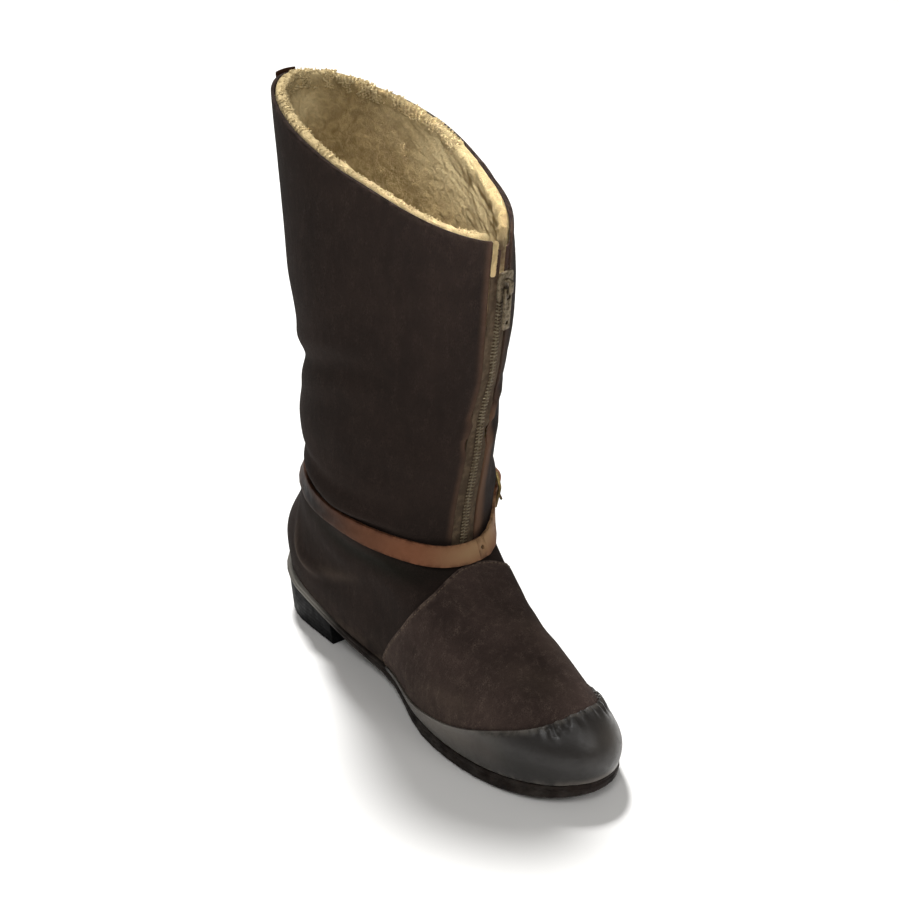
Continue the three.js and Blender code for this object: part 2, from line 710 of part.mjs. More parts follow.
// Flat bed for the strap with x along it; it lies just outside the waisted upper.
function strapBed(angle) {
  const middle = (turn) => facePoint(strapLevel(turn), turn);
  const level = strapLevel(angle);
  const outward = faceNormal(level, angle);
  const half = levelsFor(level, angle, STRAP.half);
  const heights = [-1, -0.5, 0, 0.5, 1].map((share) =>
    facePoint(level + share * half, angle).sub(middle(angle)).dot(outward));
  const origin = middle(angle).addScaledVector(outward, Math.max(...heights));
  return frameAt(origin, middle(angle + 0.05).sub(middle(angle - 0.05)), outward);
}

// Cutter through the strap, standing on its bed.
const punch = (angle, geometry) => toSolid(geometry.applyMatrix4(strapBed(angle)));

const PUNCHED = [0.21, 0.58]; // angles of the free holes
const HOLE = { radius: 1.6, depth: 24, sides: 10 };
const PRONG_CLEAR = 0.5;

function strapBand() {
  const turns = strapTurns();
  const beds = turns.map(strapBed);
  const place = (i, j, layer) => {
    const half = STRAP.half * lerp(STRAP.tipShare, 1, ease(strapEnd, strapEnd - STRAP.tip, turns[i]));
    const lift = strapLift(turns[i]) + (layer ? STRAP.thick : 0);
    return new THREE.Vector3(0, j ? half : -half, lift).applyMatrix4(beds[i]);
  };
  let band = toSolid(slab(turns.length - 1, 1, place));
  for (const angle of PUNCHED) {
    const drill = new THREE.CylinderGeometry(HOLE.radius, HOLE.radius, HOLE.depth, HOLE.sides);
    band = band.subtract(punch(angle, drill.rotateX(Math.PI / 2)));
  }
  return toGeometry(band.subtract(punch(BUCKLE.angle, prongBar(PRONG_CLEAR))));
}

// Buckle frame and the prong that rests on its front bar.
const buckleFrame = strapBed(BUCKLE.angle);

function buckleLoop() {
  const { halfX, halfY, bar, corner } = BUCKLE;
  const rim = roundedBox(new THREE.Shape(), -halfX, -halfY, halfX, halfY, corner);
  const inside = roundedBox(new THREE.Path(), bar - halfX, bar - halfY, halfX - bar, halfY - bar, corner / 2);
  rim.holes.push(inside);
  return extruded(rim, BUCKLE.from, BUCKLE.to).applyMatrix4(buckleFrame);
}

const PRONG = { half: 0.9, rootX: 5.1, rootZ: 4.4, tipX: -8.8, tipZ: 6.8, thick: 1.4 };

function prongBar(extra) {
  const { half, rootX, rootZ, tipX, tipZ, thick } = PRONG;
  const side = new THREE.Shape();
  const depth = thick / 2 + extra;
  side.moveTo(rootX + extra, rootZ - depth);
  side.lineTo(rootX + extra, rootZ + depth);
  side.lineTo(tipX - extra, tipZ + depth);
  side.lineTo(tipX - extra, tipZ - depth);
  const bar = extruded(side, -half - extra, half + extra);
  // the side view is drawn in x and z, then stood across y
  return bar.applyMatrix4(new THREE.Matrix4().set(1, 0, 0, 0, 0, 0, -1, 0, 0, 1, 0, 0, 0, 0, 0, 1));
}

// Leather tab sewn over the back seam, standing a little above the collar.
const TAB = { half: 8, foot: 14.5, rise: 2, thick: 1.5, columns: 4 };

function backTab() {
  const levels = [TAB.foot, (TAB.foot + TOP) / 2, TOP, TOP];
  const place = (i, j, layer) => {
    const length = lerp(-TAB.half, TAB.half, i / TAB.columns);
    const angle = angleAtLength(levels[j], length, Math.PI);
    const point = skin(levels[j], angle, SKIN_GAP + (layer ? TAB.thick : 0));
    if (j === 3) point.z += TAB.rise;
    return point;
  };
  return slab(TAB.columns, 3, place);
}

addPiece('outsole', outsole(), 'sole');
addPiece('heel', heelBlock(), 'heel');
addPiece('insole', insole(), 'insole');
addPiece('upper', upper(), 'suede');
addPiece('fleece_lining', fleeceLining(), 'fleece');
addPiece('vamp', vamp(), 'vamp');
addPiece('toe_galosh', toeGalosh(), 'galosh');
addPiece('zip_tape_outer', tapeOuter(), 'tape');
addPiece('zip_tape_inner', tapeInner(), 'tape');
addPiece('zip_chain', zipChain(), 'teeth');
addPiece('zip_slider', zipSlider(), 'metal');
addPiece('zip_pull', zipPull(), 'metal');
addPiece('ankle_strap', strapBand(), 'strap');
addPiece('buckle_frame', buckleLoop(), 'brass');
addPiece('buckle_prong', prongBar(0).applyMatrix4(buckleFrame), 'brass');
addPiece('back_tab', backTab(), 'strap');

export default boot;
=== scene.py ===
import math
import random

import bmesh
import bpy
import numpy as np
from mathutils import Matrix, Vector, noise
from mathutils.bvhtree import BVHTree
from mathutils.kdtree import KDTree


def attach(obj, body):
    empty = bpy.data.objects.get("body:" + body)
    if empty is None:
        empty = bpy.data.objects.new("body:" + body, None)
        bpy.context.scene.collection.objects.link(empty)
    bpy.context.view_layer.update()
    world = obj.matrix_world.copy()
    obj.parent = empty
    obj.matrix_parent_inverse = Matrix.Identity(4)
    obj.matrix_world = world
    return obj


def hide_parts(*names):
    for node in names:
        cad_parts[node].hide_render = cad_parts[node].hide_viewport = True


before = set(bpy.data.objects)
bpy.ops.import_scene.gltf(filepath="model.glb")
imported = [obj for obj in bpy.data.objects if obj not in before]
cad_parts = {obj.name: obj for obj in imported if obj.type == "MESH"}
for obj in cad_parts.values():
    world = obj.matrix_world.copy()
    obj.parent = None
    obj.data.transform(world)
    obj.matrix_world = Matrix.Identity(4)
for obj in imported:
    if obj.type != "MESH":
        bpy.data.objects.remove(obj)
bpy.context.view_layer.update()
mm = 0.001
noiseSeed = 7
noise.seed_set(noiseSeed)  # unseeded, the noise vectors change from run to run
print("frame loaded:", len(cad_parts), "nodes")


def newObject(name, data):
    thing = bpy.data.objects.new(name, data)
    bpy.context.scene.collection.objects.link(thing)
    return thing


def meshFrom(bm, name):
    mesh = bpy.data.meshes.new(name)
    bm.to_mesh(mesh)
    bm.free()
    return mesh


# camera, at the photograph's place and turned to the boot
cameraPlan = {
    "place": (-0.668, -0.880, 0.741), "ahead": (0.5006, 0.7239, -0.4749), "focalPixels": 1376,
    "middlePixel": (450, 450), "bootPixel": (575, 466), "sensor": 36, "lens": 74.6,
}


def makeCamera(plan):
    data = bpy.data.cameras.new("camera")
    data.sensor_width = plan["sensor"]
    data.lens = plan["lens"]
    camera = newObject("camera", data)
    ahead = Vector(plan["ahead"]).normalized()
    level = ahead.to_track_quat("-Z", "Y")
    pixels = zip(plan["bootPixel"], plan["middlePixel"])
    across, down = [(boot - middle) / plan["focalPixels"] for boot, middle in pixels]
    toBoot = level @ Vector((across, -down, -1))
    camera.rotation_mode = "QUATERNION"
    camera.rotation_quaternion = ahead.rotation_difference(toBoot) @ level
    camera.location = plan["place"]
    bpy.context.scene.camera = camera


def makeLight(name, place, target, size, power, beam=180):
    data = bpy.data.lights.new(name, "AREA")
    data.shape = "DISK"
    data.size = size
    data.spread = math.radians(beam)
    data.energy = power
    light = newObject(name, data)
    light.location = place
    light.rotation_euler = (Vector(target) - Vector(place)).to_track_quat("-Z", "Y").to_euler()


makeCamera(cameraPlan)
bootMiddle = (0, -0.1, 0.12)
collarFarSide = (0.05, -0.085, 0.325)
makeLight("keyLight", (0.4, 1.35, 3.2), bootMiddle, size=0.6, power=145)
makeLight("fillLight", (-1.2, -1.1, 1.9), bootMiddle, size=1.0, power=15)
makeLight("frontLight", (0.2, -1.7, 1.2), bootMiddle, size=0.9, power=6)
makeLight("collarLight", (-0.35, -0.45, 1.1), collarFarSide, size=0.1, power=0.09, beam=14)
bpy.context.scene.view_settings.view_transform = "Standard"
print("camera and lights done")


# node helpers
def toLinear(share):
    return share / 12.92 if share < 0.04045 else ((share + 0.055) / 1.055) ** 2.4


def rgb(red, green, blue):
    return (*[toLinear(value / 255) for value in (red, green, blue)], 1)


def addNode(tree, kind, inputs=None, **settings):
    node = tree.nodes.new("ShaderNode" + kind)
    for key, value in settings.items():
        setattr(node, key, value)
    for key, value in (inputs or {}).items():
        if isinstance(value, bpy.types.NodeSocket):
            tree.links.new(value, node.inputs[key])
        else:
            node.inputs[key].default_value = value
    return node


def mixColour(tree, share, first, second):
    return addNode(tree, "Mix", {0: share, 6: first, 7: second}, data_type="RGBA").outputs[2]


def remap(tree, value, source, target=(0.0, 1.0)):
    inputs = {"Value": value, "From Min": source[0], "From Max": source[1],
              "To Min": target[0], "To Max": target[1]}
    return addNode(tree, "MapRange", inputs, interpolation_type="SMOOTHSTEP").outputs["Result"]


def calc(tree, operation, first, second):
    return addNode(tree, "Math", {0: first, 1: second}, operation=operation).outputs[0]


def scaled(tree, value, share):
    return calc(tree, "MULTIPLY", value, share)


def maskOf(tree, name):
    return addNode(tree, "Attribute", attribute_name=name).outputs["Fac"]


def objectPlace(tree, scale=(1, 1, 1)):
    place = addNode(tree, "TexCoord").outputs["Object"]
    return addNode(tree, "Mapping", {"Vector": place, "Scale": scale}).outputs["Vector"]


def noiseOf(tree, place, scale, detail, rough, twist=0.0):
    inputs = {"Vector": place, "Scale": scale, "Detail": detail, "Roughness": rough, "Distortion": twist}
    return addNode(tree, "TexNoise", inputs).outputs["Fac"]


def wavesOf(tree, place, scale, way, wander):
    inputs = {"Vector": place, "Scale": scale, "Distortion": wander}
    return addNode(tree, "TexWave", inputs, bands_direction=way).outputs["Fac"]


def startGroup(name, inputs, outputs):
    group = bpy.data.node_groups.new(name, "ShaderNodeTree")
    for label, value in inputs.items():
        kind = "NodeSocketColor" if isinstance(value, tuple) else "NodeSocketFloat"
        group.interface.new_socket(name=label, in_out="INPUT", socket_type=kind).default_value = value
    for label in outputs:
        kind = "NodeSocketColor" if label == "Color" else "NodeSocketFloat"
        group.interface.new_socket(name=label, in_out="OUTPUT", socket_type=kind)
    return group, group.nodes.new("NodeGroupInput").outputs


def endGroup(group, **results):
    out = group.nodes.new("NodeGroupOutput").inputs
    for label, value in results.items():
        group.links.new(value, out[label])
    return group


def useGroup(tree, group, **inputs):
    return addNode(tree, "Group", inputs, node_tree=group).outputs


socketLabels = {
    "sheen": "Sheen Weight",
    "coat": "Coat Weight",
    "coatRough": "Coat Roughness",
    "specular": "Specular IOR Level",
}


def startMaterial(name, **settings):
    material = bpy.data.materials.new(name)
    material.use_nodes = True
    shader = material.node_tree.nodes["Principled BSDF"]
    for key, value in settings.items():
        label = socketLabels.get(key)
        shader.inputs[label or key.capitalize()].default_value = value
    return material, material.node_tree, shader.inputs


# colours laid one over the other, each by its own mask
def paint(tree, shader, colour, *layers):
    for share, tint in layers:
        colour = mixColour(tree, share, colour, tint)
    tree.links.new(colour, shader["Base Color"])


def bumpFrom(tree, shader, height, strength, distance):
    bump = addNode(tree, "Bump", {"Height": height, "Strength": strength, "Distance": distance * mm})
    tree.links.new(bump.outputs["Normal"], shader["Normal"])


# shared effects
napPlan = {
    "sockets": {"Deep": rgb(30, 24, 22), "Plain": rgb(48, 38, 36), "Rubbed": rgb(78, 64, 57), "Fibre": 1300},
    "brushed": (1.3, 1.3, 0.5), "patchScale": 26, "cloudScale": 150, "cloudHeight": 1.5, "rough": (0.95, 0.7),
}


def makeNapGroup(plan):
    group, given = startGroup("suedeNap", plan["sockets"], ("Color", "Roughness", "Height"))
    brushed = objectPlace(group, plan["brushed"])
    patches = noiseOf(group, objectPlace(group), plan["patchScale"], detail=5, rough=0.6)
    clouds = noiseOf(group, brushed, plan["cloudScale"], detail=5, rough=0.65, twist=0.4)
    fibres = noiseOf(group, brushed, given["Fibre"], detail=3, rough=0.6, twist=0.7)
    toned = mixColour(group, remap(group, patches, (0.26, 0.72), (0.35, 1.0)), given["Deep"], given["Plain"])
    thinned = remap(group, clouds, (0.4, 0.85), (0.0, 0.6))
    worn = scaled(group, thinned, remap(group, fibres, (0.4, 0.7)))
    napped = mixColour(group, worn, toned, given["Rubbed"])
    shaded = mixColour(group, remap(group, fibres, (0.3, 0.5), (0.5, 0.0)), napped, given["Deep"])
    rough = remap(group, worn, (0, 1), plan["rough"])
    height = calc(group, "ADD", fibres, scaled(group, clouds, plan["cloudHeight"]))
    return endGroup(group, Color=shaded, Roughness=rough, Height=height)


grainPlan = {"bend": 0.0015, "bendScale": 300, "wrinkleScale": 160, "poreHeight": 0.4}


def makeGrainGroup(plan):
    group, given = startGroup("leatherGrain", {"Cells": 800}, ("Height", "Pores", "Wrinkles"))
    place = objectPlace(group)
    wander = addNode(group, "TexNoise", {"Vector": place, "Scale": plan["bendScale"]}).outputs["Color"]
    inputs = {"Vector": mixColour(group, plan["bend"], place, wander), "Scale": given["Cells"]}
    cells = addNode(group, "TexVoronoi", inputs, feature="DISTANCE_TO_EDGE").outputs["Distance"]
    pores = remap(group, cells, (0.0, 0.16))
    wrinkles = noiseOf(group, place, plan["wrinkleScale"], detail=5, rough=0.65, twist=0.8)
    height = calc(group, "ADD", scaled(group, pores, plan["poreHeight"]), wrinkles)
    return endGroup(group, Height=height, Pores=pores, Wrinkles=wrinkles)


# a mask along sharp edges, broken by noise: wear on suede, leather and metal, painted shade along the strap's
# edges, and the tape's darker edges
def makeEdgeWearAndShadeGroup():
    group, given = startGroup("edgeWearAndShade", {"Patch": 220}, ("Mask",))
    patches = noiseOf(group, objectPlace(group), given["Patch"], detail=5, rough=0.65)
    broken = remap(group, patches, (0.38, 0.62))
    return endGroup(group, Mask=scaled(group, maskOf(group, "edge"), broken))


dustPlan = {"patchScale": 90}


def makeDustGroup(plan):
    group, given = startGroup("floorDust", {"Top": 0.05}, ("Mask",))
    height = addNode(group, "SeparateXYZ", {0: objectPlace(group)}).outputs["Z"]
    near = remap(group, height, (0.0, given["Top"]), (1.0, 0.0))
    patches = noiseOf(group, objectPlace(group), plan["patchScale"], detail=6, rough=0.7)
    return endGroup(group, Mask=scaled(group, near, remap(group, patches, (0.35, 0.75))))


weavePlan = {"wander": 0.6, "toneScale": 200}


def makeWeaveGroup(plan):
    group, given = startGroup("tapeWeave", {"Threads": 900}, ("Height", "Tone"))
    place = objectPlace(group)
    ribs, warps = [wavesOf(group, place, given["Threads"], way, plan["wander"]) for way in "ZX"]
    tone = noiseOf(group, place, plan["toneScale"], detail=4, rough=0.6)
    return endGroup(group, Height=scaled(group, ribs, warps), Tone=tone)


napGroup = makeNapGroup(napPlan)
grainGroup = makeGrainGroup(grainPlan)
edgeWearAndShadeGroup = makeEdgeWearAndShadeGroup()
dustGroup = makeDustGroup(dustPlan)
weaveGroup = makeWeaveGroup(weavePlan)


# suede
# the dark greenish colour is painted shade, partly stain; the pale colour is painted highlight, partly
# scuffing
suedeFinish = {
    "specular": 0.12, "edgeShare": 0.45, "paleShare": 0.8, "boundShare": 0.9, "dustShare": 0.3,
    "stainAndShade": rgb(25, 24, 19), "pale": rgb(98, 84, 72), "bound": rgb(96, 72, 56), "dust": rgb(112, 98, 84),
    "bump": 0.55, "bumpDepth": 0.7,
}
shaftLook = {"deep": rgb(27, 21, 18), "plain": rgb(42, 33, 29), "rubbed": rgb(66, 53, 47), "dustTop": 0.05}
vampLook = {"deep": rgb(34, 26, 24), "plain": rgb(70, 57, 52), "rubbed": rgb(130, 113, 101), "dustTop": 0.07}


def suedeMaterial(name, look, finish):
    material, tree, shader = startMaterial(name, specular=finish["specular"])
    nap = useGroup(tree, napGroup, Deep=look["deep"], Plain=look["plain"], Rubbed=look["rubbed"])
    nearEdges = useGroup(tree, edgeWearAndShadeGroup)["Mask"]
    dusty = useGroup(tree, dustGroup, Top=look["dustTop"])["Mask"]
    paint(tree, shader, nap["Color"],
          (scaled(tree, nearEdges, finish["edgeShare"]), look["rubbed"]),
          (maskOf(tree, "stainAndShade"), finish["stainAndShade"]),
          (scaled(tree, maskOf(tree, "scuffAndHighlight"), finish["paleShare"]), finish["pale"]),
          (scaled(tree, maskOf(tree, "bind"), finish["boundShare"]), finish["bound"]),
          (scaled(tree, dusty, finish["dustShare"]), finish["dust"]))
    tree.links.new(nap["Roughness"], shader["Roughness"])
    bumpFrom(tree, shader, nap["Height"], finish["bump"], finish["bumpDepth"])
    return material


# leather, waxed thread and felt
leatherFinish = {
    "coatRough": 0.3, "edgeShare": 0.6, "poreShade": 0.4, "rougher": 0.1, "smoother": 0.06, "bumpDepth": 0.5,
}
# the worn and edge colours are wear, partly painted highlight on the lips and the inner side
galoshLook = {
    "base": rgb(41, 38, 36), "dark": rgb(35, 32, 30), "worn": rgb(112, 105, 97), "soilAndShade": rgb(24, 22, 21),
    "edge": rgb(104, 99, 92), "rough": 0.36, "cells": 900, "bump": 0.1, "coat": 0.1, "specular": 0.35,
}
# the strap's near-black soil colour is painted shade at its back end, and its dark edge colour is painted
# shade along its edges
strapLook = {
    "base": rgb(120, 78, 56), "dark": rgb(114, 74, 52), "worn": rgb(164, 136, 100), "soilAndShade": rgb(16, 12, 10),
    "edge": rgb(54, 34, 25), "rough": 0.56, "cells": 800, "bump": 0.08, "coat": 0.0, "specular": 0.07,
}
threadLook = {
    "base": rgb(112, 96, 80), "dark": rgb(78, 64, 54), "worn": rgb(140, 124, 106), "soilAndShade": rgb(60, 50, 42),
    "edge": rgb(140, 124, 106), "rough": 0.7, "cells": 1600, "bump": 0.3, "coat": 0.0, "specular": 0.2,
}
feltLook = {
    "base": rgb(150, 124, 92), "dark": rgb(104, 82, 58), "worn": rgb(170, 148, 116), "soilAndShade": rgb(80, 62, 44),
    "edge": rgb(120, 96, 70), "rough": 0.85, "cells": 1400, "bump": 0.4, "coat": 0.0, "specular": 0.2,
}


def leatherMaterial(name, look, finish):
    settings = {"specular": look["specular"], "coat": look["coat"], "coatRough": finish["coatRough"]}
    material, tree, shader = startMaterial(name, **settings)
    grain = useGroup(tree, grainGroup, Cells=look["cells"])
    nearEdges = useGroup(tree, edgeWearAndShadeGroup)["Mask"]
    # the edge colour is wear on most leathers and painted shade along the strap's edges; the soil colour is
    # painted shade at the strap's back end
    paint(tree, shader, look["dark"],
          (remap(tree, grain["Wrinkles"], (0.3, 0.6)), look["base"]),
          (remap(tree, grain["Pores"], (0.0, 1.0), (finish["poreShade"], 0.0)), look["dark"]),
          (maskOf(tree, "scuffAndHighlight"), look["worn"]),
          (scaled(tree, nearEdges, finish["edgeShare"]), look["edge"]),
          (maskOf(tree, "stainAndShade"), look["soilAndShade"]))
    rough = (look["rough"] + finish["rougher"], look["rough"] - finish["smoother"])
    tree.links.new(remap(tree, grain["Wrinkles"], (0.3, 0.7), rough), shader["Roughness"])
    bumpFrom(tree, shader, grain["Height"], look["bump"], finish["bumpDepth"])
    return material


# wool
woolLook = {
    "cream": rgb(252, 231, 180), "tan": rgb(188, 163, 115), "shade": rgb(138, 116, 77),
    "soilAndShade": rgb(62, 44, 37), "curlScale": 520, "clumpScale": 170, "litDims": 0.3, "rootShade": 0.3,
    "curlShade": 0.18, "bump": 0.9, "bumpDepth": 1.6,
    "settings": {"roughness": 0.95, "sheen": 0.03, "specular": 0.1},
}


def woolMaterial(name, look):
    material, tree, shader = startMaterial(name, **look["settings"])
    place = objectPlace(tree)
    # the lit mask is painted light; the shade colour at the tuft roots and in the curls' hollows is painted
    # shade, lessened where the wool is lit
    lit = maskOf(tree, "scuffAndHighlight")
    curls = noiseOf(tree, place, look["curlScale"], detail=5, rough=0.65, twist=1.2)
    clumps = noiseOf(tree, place, look["clumpScale"], detail=4, rough=0.6, twist=0.8)
    dim = remap(tree, lit, (0.0, 1.0), (1.0, look["litDims"]))
    roots = remap(tree, maskOf(tree, "tuft"), (0.0, 0.6), (look["rootShade"], 0.0))
    hollows = remap(tree, curls, (0.35, 0.6), (look["curlShade"], 0.0))
    paint(tree, shader, look["shade"],
          (remap(tree, clumps, (0.3, 0.7)), look["tan"]),
          (lit, look["cream"]),
          (scaled(tree, dim, roots), look["shade"]),
          (scaled(tree, dim, hollows), look["shade"]),
          (maskOf(tree, "stainAndShade"), look["soilAndShade"]))
    bumpFrom(tree, shader, calc(tree, "ADD", curls, clumps), look["bump"], look["bumpDepth"])
    return material


# woven tape
tapeLook = {
    "base": rgb(98, 83, 66), "dark": rgb(72, 60, 47), "soilAndShade": rgb(58, 40, 34), "edgeShare": 0.5, "bump": 0.6,
    "bumpDepth": 0.3, "settings": {"roughness": 0.9, "specular": 0.12},
}


def tapeMaterial(name, look):
    material, tree, shader = startMaterial(name, **look["settings"])
    weave = useGroup(tree, weaveGroup)
    nearEdges = useGroup(tree, edgeWearAndShadeGroup)["Mask"]
    # the tape darkens along its edges and towards the top
    paint(tree, shader, look["dark"],
          (remap(tree, weave["Tone"], (0.35, 0.65)), look["base"]),
          (scaled(tree, nearEdges, look["edgeShare"]), look["dark"]),
          (maskOf(tree, "stainAndShade"), look["soilAndShade"]))
    bumpFrom(tree, shader, weave["Height"], look["bump"], look["bumpDepth"])
    return material


# metal
metalFinish = {
    "spotScale": 420, "wearPatch": 500, "rougher": 0.2, "smoother": 0.1, "bump": 0.2, "bumpDepth": 0.2,
}
teethLook = {"base": rgb(152, 140, 117), "tarnish": rgb(116, 104, 84), "rough": 0.65}
steelLook = {"base": rgb(124, 112, 92), "tarnish": rgb(66, 56, 44), "rough": 0.45}
brassLook = {"base": rgb(112, 96, 60), "tarnish": rgb(66, 55, 36), "rough": 0.5}


def metalMaterial(name, look, finish):
    material, tree, shader = startMaterial(name, metallic=1.0)
    spots = noiseOf(tree, objectPlace(tree), finish["spotScale"], detail=6, rough=0.65)
    nearEdges = useGroup(tree, edgeWearAndShadeGroup, Patch=finish["wearPatch"])["Mask"]
    paint(tree, shader, look["tarnish"],
          (remap(tree, spots, (0.25, 0.8)), look["base"]),
          (nearEdges, look["base"]))
    rough = (look["rough"] + finish["rougher"], look["rough"] - finish["smoother"])
    tree.links.new(remap(tree, spots, (0.35, 0.7), rough), shader["Roughness"])
    bumpFrom(tree, shader, spots, finish["bump"], finish["bumpDepth"])
    return material


# rubber
rubberFinish = {
    "specular": 0.08, "grimeScale": 130, "bandWander": 0.8, "bandShade": 0.35, "bandHeight": 0.4,
    "dustTop": 0.03, "dustShare": 0.12, "rough": (0.75, 0.5), "bump": 0.35, "bumpDepth": 0.5,
}
soleLook = {"base": rgb(38, 30, 26), "dark": rgb(25, 20, 18), "dusty": rgb(150, 146, 138), "bands": 260}
heelLook = {"base": rgb(7, 7, 8), "dark": rgb(5, 5, 6), "dusty": rgb(50, 49, 46), "bands": 95}


def rubberMaterial(name, look, finish):
    material, tree, shader = startMaterial(name, specular=finish["specular"])
    place = objectPlace(tree)
    grime = noiseOf(tree, place, finish["grimeScale"], detail=6, rough=0.7)
    bands = wavesOf(tree, place, look["bands"], "Z", finish["bandWander"])
    dust = useGroup(tree, dustGroup, Top=finish["dustTop"])["Mask"]
    # the dusty colour is dust near the floor, and on the heel seat a painted highlight
    paint(tree, shader, look["dark"],
          (remap(tree, grime, (0.35, 0.65)), look["base"]),
          (remap(tree, bands, (0.0, 0.4), (finish["bandShade"], 0.0)), look["dark"]),
          (maskOf(tree, "scuffAndHighlight"), look["dusty"]),
          (scaled(tree, dust, finish["dustShare"]), look["dusty"]))
    tree.links.new(remap(tree, grime, (0.3, 0.7), finish["rough"]), shader["Roughness"])
    height = calc(tree, "ADD", grime, scaled(tree, bands, finish["bandHeight"]))
    bumpFrom(tree, shader, height, finish["bump"], finish["bumpDepth"])
    return material


materials = {
    "suede": suedeMaterial("suede", shaftLook, suedeFinish),
    "vamp": suedeMaterial("vampSuede", vampLook, suedeFinish),
    "galosh": leatherMaterial("galoshLeather", galoshLook, leatherFinish),
    "strap": leatherMaterial("strapLeather", strapLook, leatherFinish),
    "thread": leatherMaterial("waxedThread", threadLook, leatherFinish),
    "wool": woolMaterial("fleeceWool", woolLook),
    "tape": tapeMaterial("zipTape", tapeLook),
    "teeth": metalMaterial("zipTeeth", teethLook, metalFinish),
    "steel": metalMaterial("dullSteel", steelLook, metalFinish),
    "brass": metalMaterial("agedBrass", brassLook, metalFinish),
    "sole": rubberMaterial("soleRubber", soleLook, rubberFinish),
    "heel": rubberMaterial("heelRubber", heelLook, rubberFinish),
    "felt": leatherMaterial("insoleFelt", feltLook, leatherFinish),
}
print("materials done:", len(materials))


# floor and sky
floorPlan = {
    "half": 6, "squares": 4, "below": 0.3, "roughness": 0.6, "cloudScale": 3,
    "pale": rgb(249, 248, 246), "paler": rgb(252, 251, 249),
}
skyPlan = {"Color": (1, 0.975, 0.92, 1), "Strength": 0.15}


def makeFloor(plan):
    material, tree, shader = startMaterial("paleFloor", roughness=plan["roughness"])
    cloud = noiseOf(tree, objectPlace(tree), plan["cloudScale"], detail=3, rough=0.5)
    paint(tree, shader, plan["pale"], (cloud, plan["paler"]))
    bm = bmesh.new()
    bmesh.ops.create_grid(bm, x_segments=plan["squares"], y_segments=plan["squares"], size=plan["half"])
    floor = newObject("floor", meshFrom(bm, "floor"))
    floor.location.z = -plan["below"] * mm
    floor.data.materials.append(material)


def makeSky(plan):
    world = bpy.context.scene.world or bpy.data.worlds.new("studio")
    bpy.context.scene.world = world
    world.use_nodes = True
    for key, value in plan.items():
        world.node_tree.nodes["Background"].inputs[key].default_value = value


makeFloor(floorPlan)
makeSky(skyPlan)
print("floor and sky done")


# mesh helpers, with lengths in millimetres and angles in degrees
meshPlan = {
    "mergeGap": 0.02, "joinBend": 50, "joinShape": 75, "softEdge": 50, "softReach": 3, "hardEdge": 35,
    "smoothTo": 50, "edgeStep": 1.5, "steep": 0.6, "tallFrom": 9,
}


def mergedCopy(node):
    bm = bmesh.new()
    bm.from_mesh(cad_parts[node].data)
    bmesh.ops.remove_doubles(bm, verts=bm.verts, dist=meshPlan["mergeGap"] * mm)
    bmesh.ops.join_triangles(bm, faces=bm.faces, angle_face_threshold=math.radians(meshPlan["joinBend"]),
                             angle_shape_threshold=math.radians(meshPlan["joinShape"]))
    bmesh.ops.recalc_face_normals(bm, faces=bm.faces)
    return bm


def sharpEdges(bm, degrees):
    limit = math.radians(degrees)
    return [edge for edge in bm.edges if len(edge.link_faces) == 2 and edge.calc_face_angle() > limit]


def creaseSharp(bm, degrees, amount):
    layer = bm.edges.layers.float.get("crease_edge") or bm.edges.layers.float.new("crease_edge")
    for edge in sharpEdges(bm, degrees):
        edge[layer] = amount


def edgeTree(bm, degrees, shortest=0):
    points = []
    for edge in sharpEdges(bm, degrees):
        if edge.calc_length() < shortest * mm:
            continue
        first, second = [vert.co.copy() for vert in edge.verts]
        count = max(1, round((second - first).length / (meshPlan["edgeStep"] * mm)))
        points += [first.lerp(second, i / count) for i in range(count + 1)]
    if not points:
        return None
    tree = KDTree(len(points))
    for index, point in enumerate(points):
        tree.insert(point, index)
    tree.balance()
    return tree


def readVectors(items, field):
    values = np.empty(len(items) * 3)
    items.foreach_get(field, values)
    return values.reshape(-1, 3)


def placesOf(mesh):
    return readVectors(mesh.vertices, "co")


def setPlaces(mesh, places):
    mesh.vertices.foreach_set("co", places.reshape(-1))
    mesh.update()


def setMask(mesh, name, values):
    layer = mesh.attributes.get(name) or mesh.attributes.new(name, "FLOAT", "POINT")
    layer.data.foreach_set("value", np.clip(values, 0, 1).astype(np.float32))


def edgeMask(mesh, tree, reach):
    if tree is None:
        return
    gaps = np.array([tree.find(vert.co)[2] for vert in mesh.vertices])
    setMask(mesh, "edge", np.exp(-(gaps / (reach * mm)) ** 2))


def addPiece(name, bm, material, body="boot", stands=()):
    mesh = meshFrom(bm, name)
    mesh.materials.clear()
    mesh.materials.append(materials[material])
    mesh.shade_smooth()
    piece = newObject(name, mesh)
    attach(piece, body)
    if stands:
        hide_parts(*stands)
    return piece


def bakeModifiers(piece):
    bpy.context.view_layer.update()
    shown = piece.evaluated_get(bpy.context.evaluated_depsgraph_get())
    baked = bpy.data.meshes.new_from_object(shown)
    piece.modifiers.clear()
    old = piece.data
    piece.data = baked
    baked.name = piece.name
    bpy.data.meshes.remove(old)


def roundOff(piece, levels):
    smooth = piece.modifiers.new("round", "SUBSURF")
    smooth.levels = levels
    smooth.render_levels = levels
    bakeModifiers(piece)


# cuts across the long upright edges, so that the faces can fold
def cutTall(bm, plan):
    tall = []
    for edge in bm.edges:
        low, high = sorted(vert.co.z for vert in edge.verts)
        least = max(meshPlan["steep"] * edge.calc_length(), meshPlan["tallFrom"] * mm)
        if low > plan["cutAbove"] * mm and high - low > least:
            tall.append(edge)
    bmesh.ops.subdivide_edges(bm, edges=tall, cuts=plan["cuts"], use_grid_fill=True)


